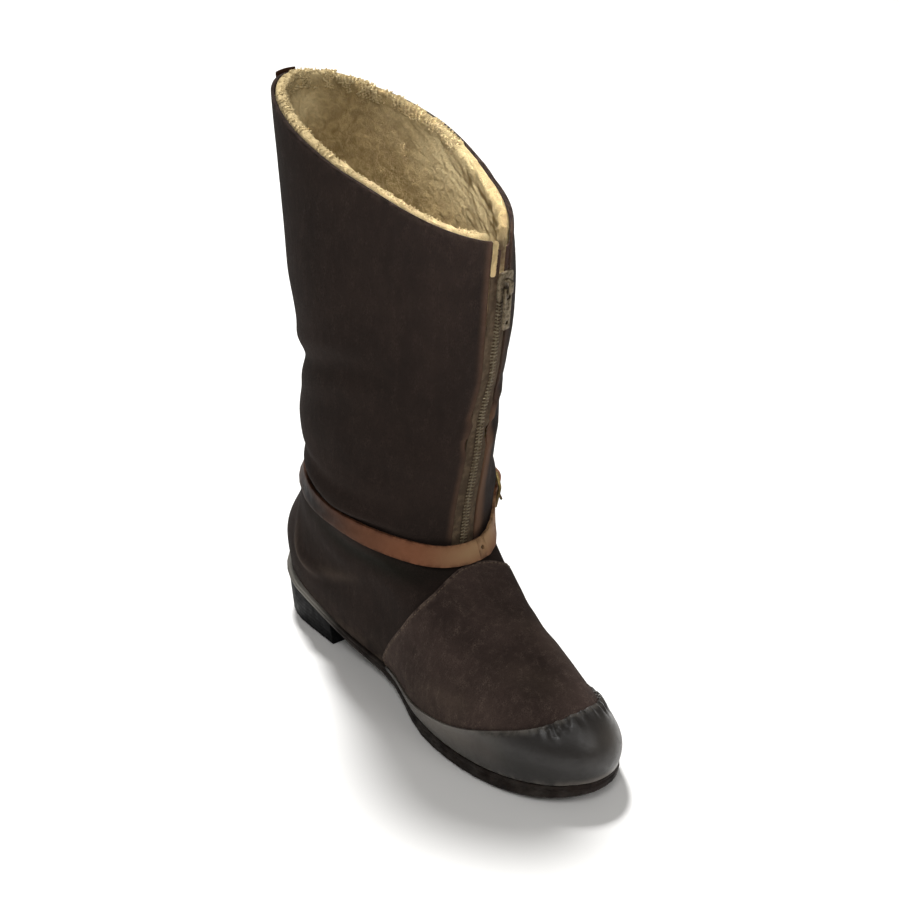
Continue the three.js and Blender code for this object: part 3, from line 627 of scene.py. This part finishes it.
def softPiece(name, node, material, plan):
    bm = mergedCopy(node)
    if "cuts" in plan:
        cutTall(bm, plan)
    creaseSharp(bm, meshPlan["softEdge"], plan["crease"])
    tree = edgeTree(bm, meshPlan["softEdge"])
    piece = addPiece(name, bm, material, stands=(node,))
    roundOff(piece, plan["levels"])
    edgeMask(piece.data, tree, meshPlan["softReach"])
    wrinkle(piece, plan["uneven"])
    return piece


def hardPiece(name, node, material, bevel, segments=2, body="boot", reach=1.0, shortest=0, cut=None):
    degrees = meshPlan["hardEdge"]
    bm = mergedCopy(node)
    if cut:
        cutTall(bm, cut)
    tree = edgeTree(bm, degrees, shortest)
    bmesh.ops.bevel(bm, geom=sharpEdges(bm, degrees), offset=bevel * mm, segments=segments,
                    profile=0.5, affect="EDGES", material=-1, clamp_overlap=True)
    piece = addPiece(name, bm, material, body=body, stands=(node,))
    piece.data.set_sharp_from_angle(angle=math.radians(meshPlan["smoothTo"]))
    edgeMask(piece.data, tree, reach)
    return piece


def treeOf(piece):
    bm = bmesh.new()
    bm.from_mesh(piece.data)
    tree = BVHTree.FromBMesh(bm)
    bm.free()
    return tree


# the outer skin of the upper, which tells every layer which way is out
shaftCut = {"cutAbove": 112, "cuts": 2}
skinPlan = {
    "shaftFrom": 115, "shaftFoot": (2, -43, 112), "shaftLean": 0.03, "footHeight": 45,
    "footReach": (-215, -12), "levels": 2,
}


def middleOf(place, plan):
    if place.z > plan["shaftFrom"] * mm:
        x, y, z = plan["shaftFoot"]
        return Vector((x * mm - plan["shaftLean"] * (place.z - z * mm), y * mm, place.z))
    toe, heel = plan["footReach"]
    return Vector((0, min(max(place.y, toe * mm), heel * mm), plan["footHeight"] * mm))


def facesIn(face, plan):
    centre = face.calc_center_median()
    return face.normal.dot(centre - middleOf(centre, plan)) <= 0


def makeSkin(plan):
    bm = mergedCopy("upper")
    inner = [face for face in bm.faces if facesIn(face, plan)]
    bmesh.ops.delete(bm, geom=inner, context="FACES")
    cutTall(bm, shaftCut)
    skin = newObject("skin", meshFrom(bm, "skin"))
    roundOff(skin, plan["levels"])
    tree = treeOf(skin)
    bpy.data.objects.remove(skin)
    return tree


skinTree = makeSkin(skinPlan)


def outwardAt(place, aside=0):
    return skinTree.find_nearest(place - Vector((aside * mm, 0, 0)))[1]


def outwardOf(places, aside=0):
    return np.array([outwardAt(Vector(place), aside) for place in places])


def smoothPath(points, steps=10):
    line = [Vector(p) * mm for p in points]
    line = [line[0] * 2 - line[1], *line, line[-1] * 2 - line[-2]]
    path = []
    for a, b, c, d in zip(line, line[1:], line[2:], line[3:]):
        for i in range(steps):
            t = i / steps
            path.append(0.5 * (2 * b + (c - a) * t + (2 * a - 5 * b + 4 * c - d) * t ** 2
                               + (3 * b - a - 3 * c + d) * t ** 3))
    return path + [line[-2]]


def nearPath(places, path):
    gaps = np.full(len(places), np.inf)
    along = np.zeros(len(places))
    for index, point in enumerate(path):
        gap = np.linalg.norm(places - np.array(point), axis=1)
        nearer = gap < gaps
        gaps[nearer] = gap[nearer]
        along[nearer] = index / (len(path) - 1)
    return gaps, along


def fadeEnds(along, shape):
    clip = shape["endClip"]
    return np.sin(np.pi * np.clip(along, clip, 1 - clip)) ** shape["endPower"]


# folds, placed on the boot in millimetres: height above zero is a ridge, below zero a trough
def foldAlong(height, width, *points):
    path = [skinTree.find_nearest(p)[0] for p in smoothPath(points)]
    return {"height": height, "width": width, "path": path}


foldShape = {"endClip": 0.03, "endPower": 0.6, "lip": 0.3, "lipPlace": 1.9, "lipWidth": 0.8, "unevenSize": 38}
folds = {
    "heelRidge": foldAlong(
        1.6, 4, (-36, 15, 92), (-39, 10, 78), (-42, 6, 66), (-43, -3, 58), (-43, -18, 58), (-43, -34, 64),
        (-43, -52, 72), (-43, -70, 80)),
    "shaftNotch": foldAlong(
        -3.4, 8, (4, 29, 203), (-20, 21, 206), (-44, -7, 213), (-51, -33, 222), (-51, -55, 228),
        (-44, -80, 230)),
    "ankleBulge": foldAlong(
        2.6, 15, (0, 28, 168), (-30, 12, 171), (-47, -15, 174), (-52, -40, 178), (-48, -65, 182)),
    "strapRoll": foldAlong(
        3.4, 6, (-20, 20, 140), (-44, -9, 137), (-51, -40, 132), (-49, -61, 131), (-40, -82, 130),
        (-27, -99, 125)),
    "hemLip": foldAlong(
        1.3, 2.4, (-51, -40, 128), (-49, -58, 129), (-45, -74, 129), (-36, -88, 126), (-20, -104, 119)),
    "ankleHollow": foldAlong(
        -1.9, 7, (-48, -18, 103), (-49, -39, 100), (-46, -58, 95), (-44, -77, 96), (-40, -94, 97),
        (-33, -107, 96), (-18, -115, 96)),
    "outerNotch": foldAlong(
        -3.0, 9, (20, 20, 205), (48, 0, 210), (62, -30, 216), (62, -60, 222), (50, -90, 225)),
    "outerRoll": foldAlong(
        3.4, 8, (30, 18, 146), (55, -10, 147), (66, -45, 145), (60, -72, 138), (50, -86, 132),
        (42, -95, 129), (32, -104, 128)),
    "outerPad": foldAlong(
        2.2, 8, (53, -78, 116), (47, -89, 115), (42, -95, 113), (36, -100, 111), (26, -107, 110)),
    "outerFlare": foldAlong(
        3.2, 30, (36, 24, 370), (48, 4, 364), (54, -25, 354), (55, -55, 344), (48, -84, 334)),
    "outerBow": foldAlong(
        3.2, 16, (38, -106, 322), (40, -104, 294), (40, -102, 264), (39, -100, 236)),
    "toeBulge": foldAlong(
        2.6, 15, (-22, -252, 30), (-8, -258, 31), (8, -258, 32), (24, -250, 32), (38, -236, 30)),
    "zipKink": foldAlong(
        -2.6, 6, (4, -117, 190), (14, -115, 186), (28, -109, 188), (40, -97, 194)),
    "zipCrest": foldAlong(
        2.4, 4, (2, -116, 188), (8, -116, 195), (16, -114, 202), (26, -110, 208), (38, -100, 212)),
    "zipSag": foldAlong(
        2.0, 9, (-14, -110, 168), (-30, -101, 172), (-42, -83, 182)),
    "toeBreak": foldAlong(
        -0.8, 7, (-36, -168, 52), (-20, -172, 66), (0, -174, 70), (20, -170, 66), (34, -160, 52)),
    "toeBreakRear": foldAlong(
        -0.6, 6, (-38, -148, 56), (-22, -150, 72), (0, -152, 76), (22, -150, 72), (38, -142, 56)),
}


def foldHeights(places, shape):
    heights = np.zeros(len(places))
    for fold in folds.values():
        gaps, along = nearPath(places, fold["path"])
        reach = gaps / (fold["width"] * mm)
        lips = shape["lip"] * np.exp(-((reach - shape["lipPlace"]) / shape["lipWidth"]) ** 2)
        heights += fold["height"] * mm * fadeEnds(along, shape) * (np.exp(-reach ** 2) - lips)
    return heights


def unevenness(places, size, height):
    return np.array([noise.noise(Vector(place) / (size * mm)) for place in places]) * height * mm


def wrinkle(piece, uneven, aside=0):
    places = placesOf(piece.data)
    heights = foldHeights(places, foldShape) + unevenness(places, foldShape["unevenSize"], uneven)
    setPlaces(piece.data, places + outwardOf(places, aside) * heights[:, None])


# stains, scuffs, painted shade and painted highlights, placed in the same way, each with a width and a
# strength
def markAlong(width, amount, *points):
    return {"width": width, "amount": amount, "points": points}


markShape = {"endClip": 0.05, "endPower": 0.5}


def lineMask(piece, marks):
    places = placesOf(piece.data)
    surface = treeOf(piece)
    total = np.zeros(len(places))
    for mark in marks:
        path = [surface.find_nearest(p)[0] for p in smoothPath(mark["points"])]
        gaps, along = nearPath(places, path)
        shown = mark["amount"] * fadeEnds(along, markShape)
        total = np.maximum(total, shown * np.exp(-(gaps / (mark["width"] * mm)) ** 2))
    return total


# the darkening mask holds real stains and painted shade; the lightening mask holds scuffs, painted highlights
# and painted light
def markPiece(piece, plan):
    for name in ("stainAndShade", "scuffAndHighlight"):
        if name in plan:
            setMask(piece.data, name, lineMask(piece, plan[name]))


# free edges of a panel, in order, and rows of stitches beside them
edgePlan = {"sharp": 45, "facingOut": 0.7, "facingWay": 0.15, "step": 2}
beadPlan = {"around": 6, "rings": 4}
upAndBack = (0, 0.6, 0.8)


def walkEdges(edges):
    links = {}
    for edge in edges:
        for here, there in (edge.verts, reversed(edge.verts)):
            links.setdefault(here, []).append(there)
    chains = []
    while links:
        start = min(links, key=lambda vert: (len(links[vert]), vert.co.x))
        chain = [start]
        while chain[-1] in links:
            onward = [vert for vert in links.pop(chain[-1]) if vert in links]
            if onward:
                chain.append(onward[0])
        chains.append([vert.co.copy() for vert in chain])
    return max(chains, key=len)


def freeEdge(node, way, keep):
    bm = mergedCopy(node)
    picked = []
    for edge in sharpEdges(bm, edgePlan["sharp"]):
        middle = (edge.verts[0].co + edge.verts[1].co) / 2
        facing = [face.normal.dot(outwardAt(middle)) for face in edge.link_faces]
        side = edge.link_faces[facing.index(min(facing))]
        turned = side.normal.dot(Vector(way)) > edgePlan["facingWay"]
        if max(facing) > edgePlan["facingOut"] and turned and keep(middle):
            picked.append(edge)
    path = walkEdges(picked)
    bm.free()
    return path


def evenPoints(path, step):
    points = [path[0]]
    left = step * mm
    for first, second in zip(path, path[1:]):
        length = (second - first).length
        done = 0
        while length - done > left:
            done += left
            points.append(first.lerp(second, done / length))
            left = step * mm
        left -= length - done
    return points


def gapsTo(places, path):
    return nearPath(places, evenPoints(path, edgePlan["step"]))[0]


# the rear edge of a panel on the foot, pressed down where it is sewn
def pressEdge(piece, node, plan):
    toeEnd, heelEnd = plan["edgeReach"]
    path = freeEdge(node, upAndBack, lambda place: toeEnd * mm < place.y < heelEnd * mm)
    places = placesOf(piece.data)
    sink = plan["edgeDepth"] * mm * np.exp(-(gapsTo(places, path) / (plan["edgeWidth"] * mm)) ** 2)
    setPlaces(piece.data, places - outwardOf(places) * sink[:, None])
    return path


def beadMesh(size):
    bm = bmesh.new()
    bmesh.ops.create_uvsphere(bm, u_segments=beadPlan["around"], v_segments=beadPlan["rings"], radius=mm)
    bmesh.ops.scale(bm, verts=bm.verts, vec=size)
    return meshFrom(bm, "bead")


def placeCopy(bm, shape, place, along, out):
    across = out.cross(along).normalized()
    turn = Matrix((along, across, along.cross(across))).transposed().to_4x4()
    copy = shape.copy()
    copy.transform(Matrix.Translation(place) @ turn)
    bm.from_mesh(copy)
    bpy.data.meshes.remove(copy)


def stitchRow(bm, path, plan, tree, towards):
    shape = beadMesh(plan["thread"])
    points = evenPoints(path, plan["step"])
    for first, second in zip(points, points[1:]):
        middle = (first + second) / 2
        along = (second - first).normalized()
        inward = along.cross(outwardAt(middle)).normalized()
        if inward.dot(Vector(towards) * mm - middle) < 0:
            inward = -inward
        spot, normal = tree.find_nearest(middle + inward * plan["inset"] * mm)[:2]
        placeCopy(bm, shape, spot + normal * plan["lift"] * mm, along, normal)
    bpy.data.meshes.remove(shape)


# upper
upperPlan = {
    "crease": 0.75, "levels": 2, "uneven": 0.8, **shaftCut,
    # painted shade under the strap and in the hollow below it, partly a real stain
    "stainAndShade": [
        markAlong(7, 0.9, (-46, -8, 106), (-49, -39, 101), (-46, -58, 97), (-44, -77, 97), (-40, -94, 98),
                  (-33, -107, 97), (-12, -116, 96)),
        markAlong(7, 0.5, (-40, 5, 118), (-48, -25, 122), (-50, -50, 124)),
    ],
    # lighter lines along the heel ridge and the hem lip: painted highlights on their crests, partly scuffing
    "scuffAndHighlight": [
        markAlong(3, 0.45, (-38, 11, 79), (-42, 8, 66), (-43, 0, 57), (-43, -16, 55)),
        markAlong(5, 0.25, (-43, -20, 60), (-43, -40, 66), (-43, -60, 74)),
        markAlong(2, 0.5, (-51, -40, 129), (-48, -62, 130), (-42, -80, 129), (-31, -94, 124)),
    ],
}
upperPiece = softPiece("upperSuede", "upper", "suede", upperPlan)
markPiece(upperPiece, upperPlan)
print("upper done:", len(upperPiece.data.polygons), "faces")


# vamp
vampPlan = {
    "crease": 0.85, "levels": 2, "uneven": 0.5,
    "edgeReach": (-170, math.inf), "edgeWidth": 3, "edgeDepth": 0.6,
    "scuffAndHighlight": [
        markAlong(11, 0.24, (-24, -190, 62), (-12, -206, 65), (-2, -222, 63)),
        markAlong(7, 0.3, (-47, -150, 40), (-46, -168, 42), (-43, -186, 46)),
        markAlong(9, 0.3, (26, -150, 70), (30, -170, 64), (34, -192, 56), (32, -214, 52)),
        # lighter streak on the ridge's lit side: painted highlight, partly scuffing
        markAlong(11, 0.22, (4, -160, 74), (12, -172, 71), (14, -190, 67), (16, -212, 61)),
    ],
}
vampPiece = softPiece("vampSuede", "vamp", "vamp", vampPlan)
markPiece(vampPiece, vampPlan)
vampEdge = pressEdge(vampPiece, "vamp", vampPlan)
print("vamp done:", len(vampPiece.data.polygons), "faces")


# galosh, with puckers along its edge
galoshPlan = {
    "crease": 0.85, "levels": 3, "uneven": 0.4,
    "edgeReach": (-math.inf, -95), "edgeWidth": 2.5, "edgeDepth": 0.7,
    # lighter marks: the wide band on the inner side is partly painted sheen and partly wear, the thin line
    # along the bottom lip is partly a painted highlight, and the rest are scuffs
    "scuffAndHighlight": [
        markAlong(14, 0.8, (-44, -108, 20), (-51, -140, 26), (-53, -170, 28), (-50, -204, 28)),
        markAlong(11, 0.3, (-4, -257, 42), (8, -256, 41), (20, -250, 38), (30, -242, 34)),
        markAlong(1.6, 0.6, (-52, -186, 37), (-47, -203, 42), (-39, -217, 46), (-29, -229, 50),
                  (-15, -236, 54)),
        markAlong(2.4, 0.7, (-26, -250, 18), (-11, -259, 19), (4, -261, 20), (22, -256, 20), (37, -240, 19)),
    ],
}
puckerPlan = {
    "lineStep": 1.5, "length": 7.5, "reach": 5.5, "below": 2.5, "height": 1.8, "start": 0.4, "end": 0.67,
    "fade": 0.06, "swayScale": 23, "swayTurn": 0.6, "evenShare": 0.6,
}


def pucker(piece, path, plan):
    places = placesOf(piece.data)
    line = evenPoints(path, plan["lineStep"])
    gaps, along = nearPath(places, line)
    waves = plan["lineStep"] * len(line) / plan["length"]
    sway = np.array([noise.noise(Vector((a * plan["swayScale"], 3, 1))) for a in along])
    fadeIn = np.clip((along - plan["start"]) / plan["fade"], 0, 1)
    fadeOut = np.clip((plan["end"] - along) / plan["fade"], 0, 1)
    near = np.exp(-((gaps / mm - plan["below"]) / plan["reach"]) ** 2)
    ripples = np.sin(2 * np.pi * (along * waves + plan["swayTurn"] * sway))
    heights = plan["height"] * ripples * (fadeIn * fadeOut) * near * (plan["evenShare"] + sway)
    setPlaces(piece.data, places + outwardOf(places) * heights[:, None] * mm)


galoshPiece = softPiece("toeGalosh", "toe_galosh", "galosh", galoshPlan)
pucker(galoshPiece, pressEdge(galoshPiece, "toe_galosh", galoshPlan), puckerPlan)
markPiece(galoshPiece, galoshPlan)
print("galosh done:", len(galoshPiece.data.polygons), "faces")


# stitches, and the brown binding beside the slit
seamPlan = {"thread": (1.25, 0.36, 0.3), "step": 3.1, "inset": 2.0, "lift": 0.1}
zipSeamPlan = {"thread": (1.3, 0.34, 0.3), "step": 3.4, "inset": 2.6, "lift": 0.1}
slitPlan = {"front": -95, "low": 112, "high": 324}
bindPlan = {
    "inner": {"width": 4, "amount": 0.55}, "outer": {"width": 9, "amount": 1},
    "outerTop": 210, "outerFade": 10, "outerLeast": 0.25, "falloff": 4,
}
vampMiddle = (0, -185, 60)
innerSide = (-50, -60, 220)
outerSide = (60, -60, 220)


def onSlit(place):
    return place.y < slitPlan["front"] * mm and slitPlan["low"] * mm < place.z < slitPlan["high"] * mm


def bindBeside(places, lip, side):
    return side["amount"] * np.exp(-(gapsTo(places, lip) / (side["width"] * mm)) ** bindPlan["falloff"])


def bindMask(piece, plan):
    places = placesOf(piece.data)
    low = np.clip((plan["outerTop"] * mm - places[:, 2]) / (plan["outerFade"] * mm), plan["outerLeast"], 1)
    inner = bindBeside(places, innerLip, plan["inner"])
    return np.maximum(inner, low * bindBeside(places, outerLip, plan["outer"]))


def makeStitches():
    bm = bmesh.new()
    upperTree = treeOf(upperPiece)
    stitchRow(bm, vampEdge, seamPlan, treeOf(vampPiece), vampMiddle)
    stitchRow(bm, innerLip, zipSeamPlan, upperTree, innerSide)
    stitchRow(bm, outerLip, zipSeamPlan, upperTree, outerSide)
    return addPiece("seamThread", bm, "thread")


innerLip = freeEdge("upper", (1, 0, 0), onSlit)
outerLip = freeEdge("upper", (-1, 0, 0), onSlit)
setMask(upperPiece.data, "bind", bindMask(upperPiece, bindPlan))
threadPiece = makeStitches()
print("stitches done:", len(threadPiece.data.polygons), "faces")


# fleece, with its tufts, the collar's rim and the lit and dark places
fleecePlan = {
    "crease": 0.0, "levels": 2, "uneven": 0.8, "cutAbove": 118, "cuts": 3,
    "tuftSize": 4.2, "tuftHeight": 1.5, "tuftLevel": 0.45, "tuftStretch": 0.75, "tuftSharp": 1.15,
    "bendSize": 0.9, "bend": 0.45, "curlSize": 1.7, "curlHeight": 0.5, "curlShare": 0.25,
    "clearOfSkin": 4, "clearFrom": 0.5,
    "rimFront": (-129, 325), "rimBack": (47, 384), "rimBow": 1.24, "rimDepth": 6, "rimDim": 0.65,
    "rimLift": 1.8, "rimLiftFade": 10, "rimFade": {"from": 8, "length": 20, "least": 0.1, "most": 0.36},
    # painted light: the far wall and the back of the inside are lightened to cream where light falls on them
    "lit": [
        markAlong(28, 0.85, (46, -5, 356), (53, -32, 346), (53, -58, 335), (44, -90, 322), (26, -114, 310)),
        markAlong(14, 0.25, (-56, -40, 366), (-53, -5, 374), (-40, 25, 378), (-14, 38, 380)),
        markAlong(14, 0.6, (-48, 14, 366), (-34, 30, 364), (-16, 39, 364), (0, 41, 368)),
    ],
    # a darker strip on the fleece beside the slit
    "stainAndShade": [markAlong(5, 0.9, (9, -122, 300), (11, -122, 308), (13, -121, 316), (16, -119, 322))],
}


def tuftField(places, plan):
    field = []
    for x, y, z in places:
        place = Vector((x, y, z * plan["tuftStretch"])) / (plan["tuftSize"] * mm)
        bent = place + noise.noise_vector(place * plan["bendSize"]) * plan["bend"]
        near = noise.voronoi(bent)[0][0]
        curl = noise.noise(Vector((x, y, z)) / (plan["curlSize"] * mm))
        field.append((1 - min(1, near * plan["tuftSharp"]), curl))
    return np.array(field).T


def skinGaps(places):
    return np.array([skinTree.find_nearest(Vector(place))[3] for place in places])


def rimHeight(y, plan):
    (frontY, frontZ), (backY, backZ) = plan["rimFront"], plan["rimBack"]
    share = min(1, max(0, (y / mm - frontY) / (backY - frontY)))
    return (frontZ + (backZ - frontZ) * (1 - (1 - share) ** plan["rimBow"])) * mm


def rimMask(places, plan):
    below = np.array([rimHeight(y, plan) for y in places[:, 1]]) - places[:, 2]
    return np.exp(-(np.clip(below, 0, None) / (plan["rimDepth"] * mm)) ** 2)


def raiseTufts(mesh, places, plan):
    tufts, curls = tuftField(places, plan)
    free = np.clip(skinGaps(places) / (plan["clearOfSkin"] * mm) - plan["clearFrom"], 0, 1)
    heights = ((tufts - plan["tuftLevel"]) * plan["tuftHeight"] + curls * plan["curlHeight"]) * free
    setPlaces(mesh, places + readVectors(mesh.vertex_normals, "vector") * heights[:, None] * mm)
    setMask(mesh, "tuft", tufts + plan["curlShare"] * curls)


def makeFleece(plan):
    piece = softPiece("fleeceSleeve", "fleece_lining", "wool", plan)
    mesh = piece.data
    places = placesOf(mesh)
    rim = rimMask(places, plan)
    raiseTufts(mesh, places, plan)
    lifted = placesOf(mesh)
    lifted[:, 2] += plan["rimLift"] * mm * rim * np.clip(places[:, 0] / (plan["rimLiftFade"] * mm) + 1, 0, 1)
    setPlaces(mesh, lifted)
    # painted light: the near rim is lightened, more on the inner side
    fade = plan["rimFade"]
    near = np.clip((fade["from"] - places[:, 0] / mm) / fade["length"], fade["least"], fade["most"])
    far = lineMask(piece, plan["lit"]) * (1 - plan["rimDim"] * rim)
    setMask(mesh, "scuffAndHighlight", np.maximum(near * rim, far))
    markPiece(piece, plan)
    return piece


# locks of wool on the rim, and the roll of fleece at the top of the slit
# the lit shares make the locks and the roll lighter: painted light
lockPlan = {
    "seed": 11, "count": 9000, "band": 8, "leastUp": -0.4, "sides": 5, "lengthSteps": 5, "sway": 1.1,
    "shaggyFrom": (-24, -50), "smoothFrom": 5,
    "short": {"root": 0.6, "tip": 0.2, "lengths": (1.3, 2.8), "clump": 5, "fill": 0.0, "inset": 3.0,
              "lit": 0.38},
    "shaggy": {"root": 1.0, "tip": 0.3, "lengths": (1.8, 3.8), "clump": 6, "fill": -0.08, "inset": 1.0,
               "lit": 0.5},
}
rollPlan = {
    "from": 303, "step": 1.0, "size": (1.6, 1.9, 1.0), "across": 1.9, "sway": 0.2, "out": 1.8, "aside": 6,
    "lit": 0.2,
}


def strandMesh(kind, length, sides):
    bm = bmesh.new()
    bmesh.ops.create_cone(bm, segments=sides, radius1=kind["root"] * mm, radius2=kind["tip"] * mm,
                          depth=length * mm, cap_ends=True)
    return meshFrom(bm, "strand")


def strandShapes(kind, plan):
    lengths = np.linspace(*kind["lengths"], plan["lengthSteps"])
    return [strandMesh(kind, length, plan["sides"]) for length in lengths]


def onRim(face, plan):
    high = face.center.z > rimHeight(face.center.y, fleecePlan) - plan["band"] * mm
    return high and face.normal.z > plan["leastUp"]


def lockKind(place, plan):
    farX, farY = plan["shaggyFrom"]
    far = place.x > farX * mm and place.y > farY * mm
    if place.x > plan["smoothFrom"] * mm and not far:
        return None
    name = "shaggy" if far else "short"
    kind = plan[name]
    full = noise.noise(place / (kind["clump"] * mm)) > kind["fill"]
    return name if full and skinTree.find_nearest(place)[3] > kind["inset"] * mm else None


def growLocks(bm, plan, sleeve, rng):
    shapes = {name: strandShapes(plan[name], plan) for name in ("short", "shaggy")}
    faces = [face for face in sleeve.data.polygons if onRim(face, plan)]
    lit = []
    for face in rng.sample(faces, min(plan["count"], len(faces))):
        place = Vector(face.center)
        name = lockKind(place, plan)
        if name is None:
            continue
        sway = Vector([rng.uniform(-plan["sway"], plan["sway"]) for _ in range(3)])
        aim = (Vector(face.normal) + sway).normalized()
        placeCopy(bm, rng.choice(shapes[name]), place, aim.orthogonal().normalized(), aim)
        lit += [plan[name]["lit"]] * (len(bm.verts) - len(lit))
    for shape in shapes["short"] + shapes["shaggy"]:
        bpy.data.meshes.remove(shape)
    return lit


def layRoll(bm, plan, rng):
    bead = beadMesh(plan["size"])
    edge = [p for p in evenPoints(innerLip, plan["step"]) if p.z > plan["from"] * mm]
    for first, second in zip(edge, edge[1:]):
        out = outwardAt(first, plan["aside"])
        along = (second - first).normalized()
        across = along.cross(out)
        if across.x < 0:
            across = -across
        shift = plan["across"] + rng.uniform(-plan["sway"], plan["sway"])
        placeCopy(bm, bead, first + across * shift * mm + out * plan["out"] * mm, along, out)
    bpy.data.meshes.remove(bead)


def makeLocks(sleeve):
    rng = random.Random(lockPlan["seed"])
    bm = bmesh.new()
    lit = growLocks(bm, lockPlan, sleeve, rng)
    layRoll(bm, rollPlan, rng)
    piece = addPiece("fleeceLocks", bm, "wool")
    count = len(piece.data.vertices)
    setMask(piece.data, "tuft", np.ones(count))
    setMask(piece.data, "scuffAndHighlight", np.array(lit + [rollPlan["lit"]] * (count - len(lit))))
    return piece


fleecePiece = makeFleece(fleecePlan)
lockPiece = makeLocks(fleecePiece)
print("fleece done:", len(fleecePiece.data.polygons), "faces,", len(lockPiece.data.polygons), "in locks")


# sole
solePlan = {
    # pale band along the heel seat's edge: painted highlight, partly dust
    "scuffAndHighlight": [
        markAlong(8, 0.85, (-30, 30, 36), (-36, 10, 35), (-37, -8, 32), (-36, -28, 27)),
        markAlong(8, 0.85, (-30, 32, 36), (-10, 45, 36), (12, 45, 36), (32, 30, 36), (37, 5, 34)),
    ],
}
outsolePiece = hardPiece("outsoleRubber", "outsole", "sole", bevel=0.9, reach=2.0)
hardPiece("heelBlock", "heel", "heel", bevel=1.0, segments=3, reach=2.0)
hardPiece("insoleFelt", "insole", "felt", bevel=0.6)
markPiece(outsolePiece, solePlan)
print("sole done:", len(outsolePiece.data.polygons), "faces in the outsole")


# strap, buckle and tab
strapPlan = {
    "cutAbove": 90, "cuts": 6,
    # painted shade: the strap darkens towards its back, where the suede hangs over it
    "stainAndShade": [
        markAlong(16, 1, (20, 30, 120), (-10, 33, 119), (-34, 16, 119), (-44, 0, 119), (-49, -15, 118),
                  (-52, -30, 117), (-53, -46, 117), (-50, -62, 116), (-46, -78, 114)),
    ],
    "scuffAndHighlight": [
        markAlong(9, 0.7, (-12, -116, 107), (4, -118, 106), (20, -112, 107), (32, -104, 112), (44, -92, 116)),
    ],
}
# the back tab is darkened all over
tabDarkening = 0.8
strapPiece = hardPiece("ankleStrap", "ankle_strap", "strap", bevel=0.5, reach=1.4, shortest=2.2,
                       cut=strapPlan)
markPiece(strapPiece, strapPlan)
hardPiece("buckleFrame", "buckle_frame", "brass", bevel=0.5)
hardPiece("buckleProng", "buckle_prong", "brass", bevel=0.35)
tabPiece = hardPiece("backTab", "back_tab", "strap", bevel=0.5)
setMask(tabPiece.data, "stainAndShade", np.full(len(tabPiece.data.vertices), tabDarkening))
print("strap and buckle done:", len(strapPiece.data.polygons), "faces in the strap")


# zip, where out is read from the skin beside the slit
pastLip = 20
stripPlan = {"cutAbove": 95, "cuts": 4, "uneven": 0.8, "darkFade": 5, "darkMost": 0.9}
teethPlan = {
    "pitch": 2.4, "length": 3.9, "height": 0.95, "depth": 0.9, "offset": 1.5, "bevel": 0.28, "lift": 0.25,
    "seekFrom": 2, "rowGap": 2.2,
}


def stripPiece(name, node, bevel, darkFrom):
    piece = hardPiece(name, node, "tape", bevel, cut=stripPlan)
    wrinkle(piece, stripPlan["uneven"], pastLip)
    # the strips darken towards the top
    above = placesOf(piece.data)[:, 2] - darkFrom * mm
    setMask(piece.data, "stainAndShade", np.clip(above / (stripPlan["darkFade"] * mm), 0, stripPlan["darkMost"]))
    return piece


def chainPath(rowGap):
    bm = mergedCopy("zip_chain")
    places = sorted((vert.co.copy() for vert in bm.verts), key=lambda place: place.z)
    bm.free()
    rows = [[places[0]]]
    for place in places[1:]:
        if place.z - rows[-1][-1].z > rowGap * mm:
            rows.append([])
        rows[-1].append(place)
    return [sum(row, Vector()) / len(row) for row in rows]


def toothMesh(plan):
    bm = bmesh.new()
    bmesh.ops.create_cube(bm, size=mm)
    bmesh.ops.scale(bm, verts=bm.verts, vec=(plan["height"], plan["length"], plan["depth"]))
    bmesh.ops.bevel(bm, geom=list(bm.edges), offset=plan["bevel"] * mm, segments=1, profile=0.5,
                    affect="EDGES", material=-1)
    return meshFrom(bm, "tooth")


def makeTeeth(plan, chain):
    shape = toothMesh(plan)
    tree = treeOf(chain)
    bm = bmesh.new()
    points = evenPoints(chainPath(plan["rowGap"]), plan["pitch"] / 2)
    for index, (first, second) in enumerate(zip(points, points[1:])):
        along = (second - first).normalized()
        out = outwardAt(first, pastLip)
        side = (1 if index % 2 else -1) * plan["offset"] * mm
        seek = first + out * plan["seekFrom"] * mm + out.cross(along).normalized() * side
        spot, normal = tree.find_nearest(seek)[:2]
        placeCopy(bm, shape, spot + normal * plan["lift"] * mm, along, normal)
    bpy.data.meshes.remove(shape)
    return addPiece("zipTeeth", bm, "teeth")


stripPiece("zipTapeOuter", "zip_tape_outer", bevel=0.2, darkFrom=296)
stripPiece("zipTapeInner", "zip_tape_inner", bevel=0.2, darkFrom=302)
chainPiece = stripPiece("zipChain", "zip_chain", bevel=0.3, darkFrom=300)
teethPiece = makeTeeth(teethPlan, chainPiece)
hardPiece("zipSlider", "zip_slider", "steel", bevel=0.4)
hardPiece("zipPull", "zip_pull", "steel", bevel=0.35, body="pull")
print("zip done:", len(teethPiece.data.polygons), "faces in the teeth")
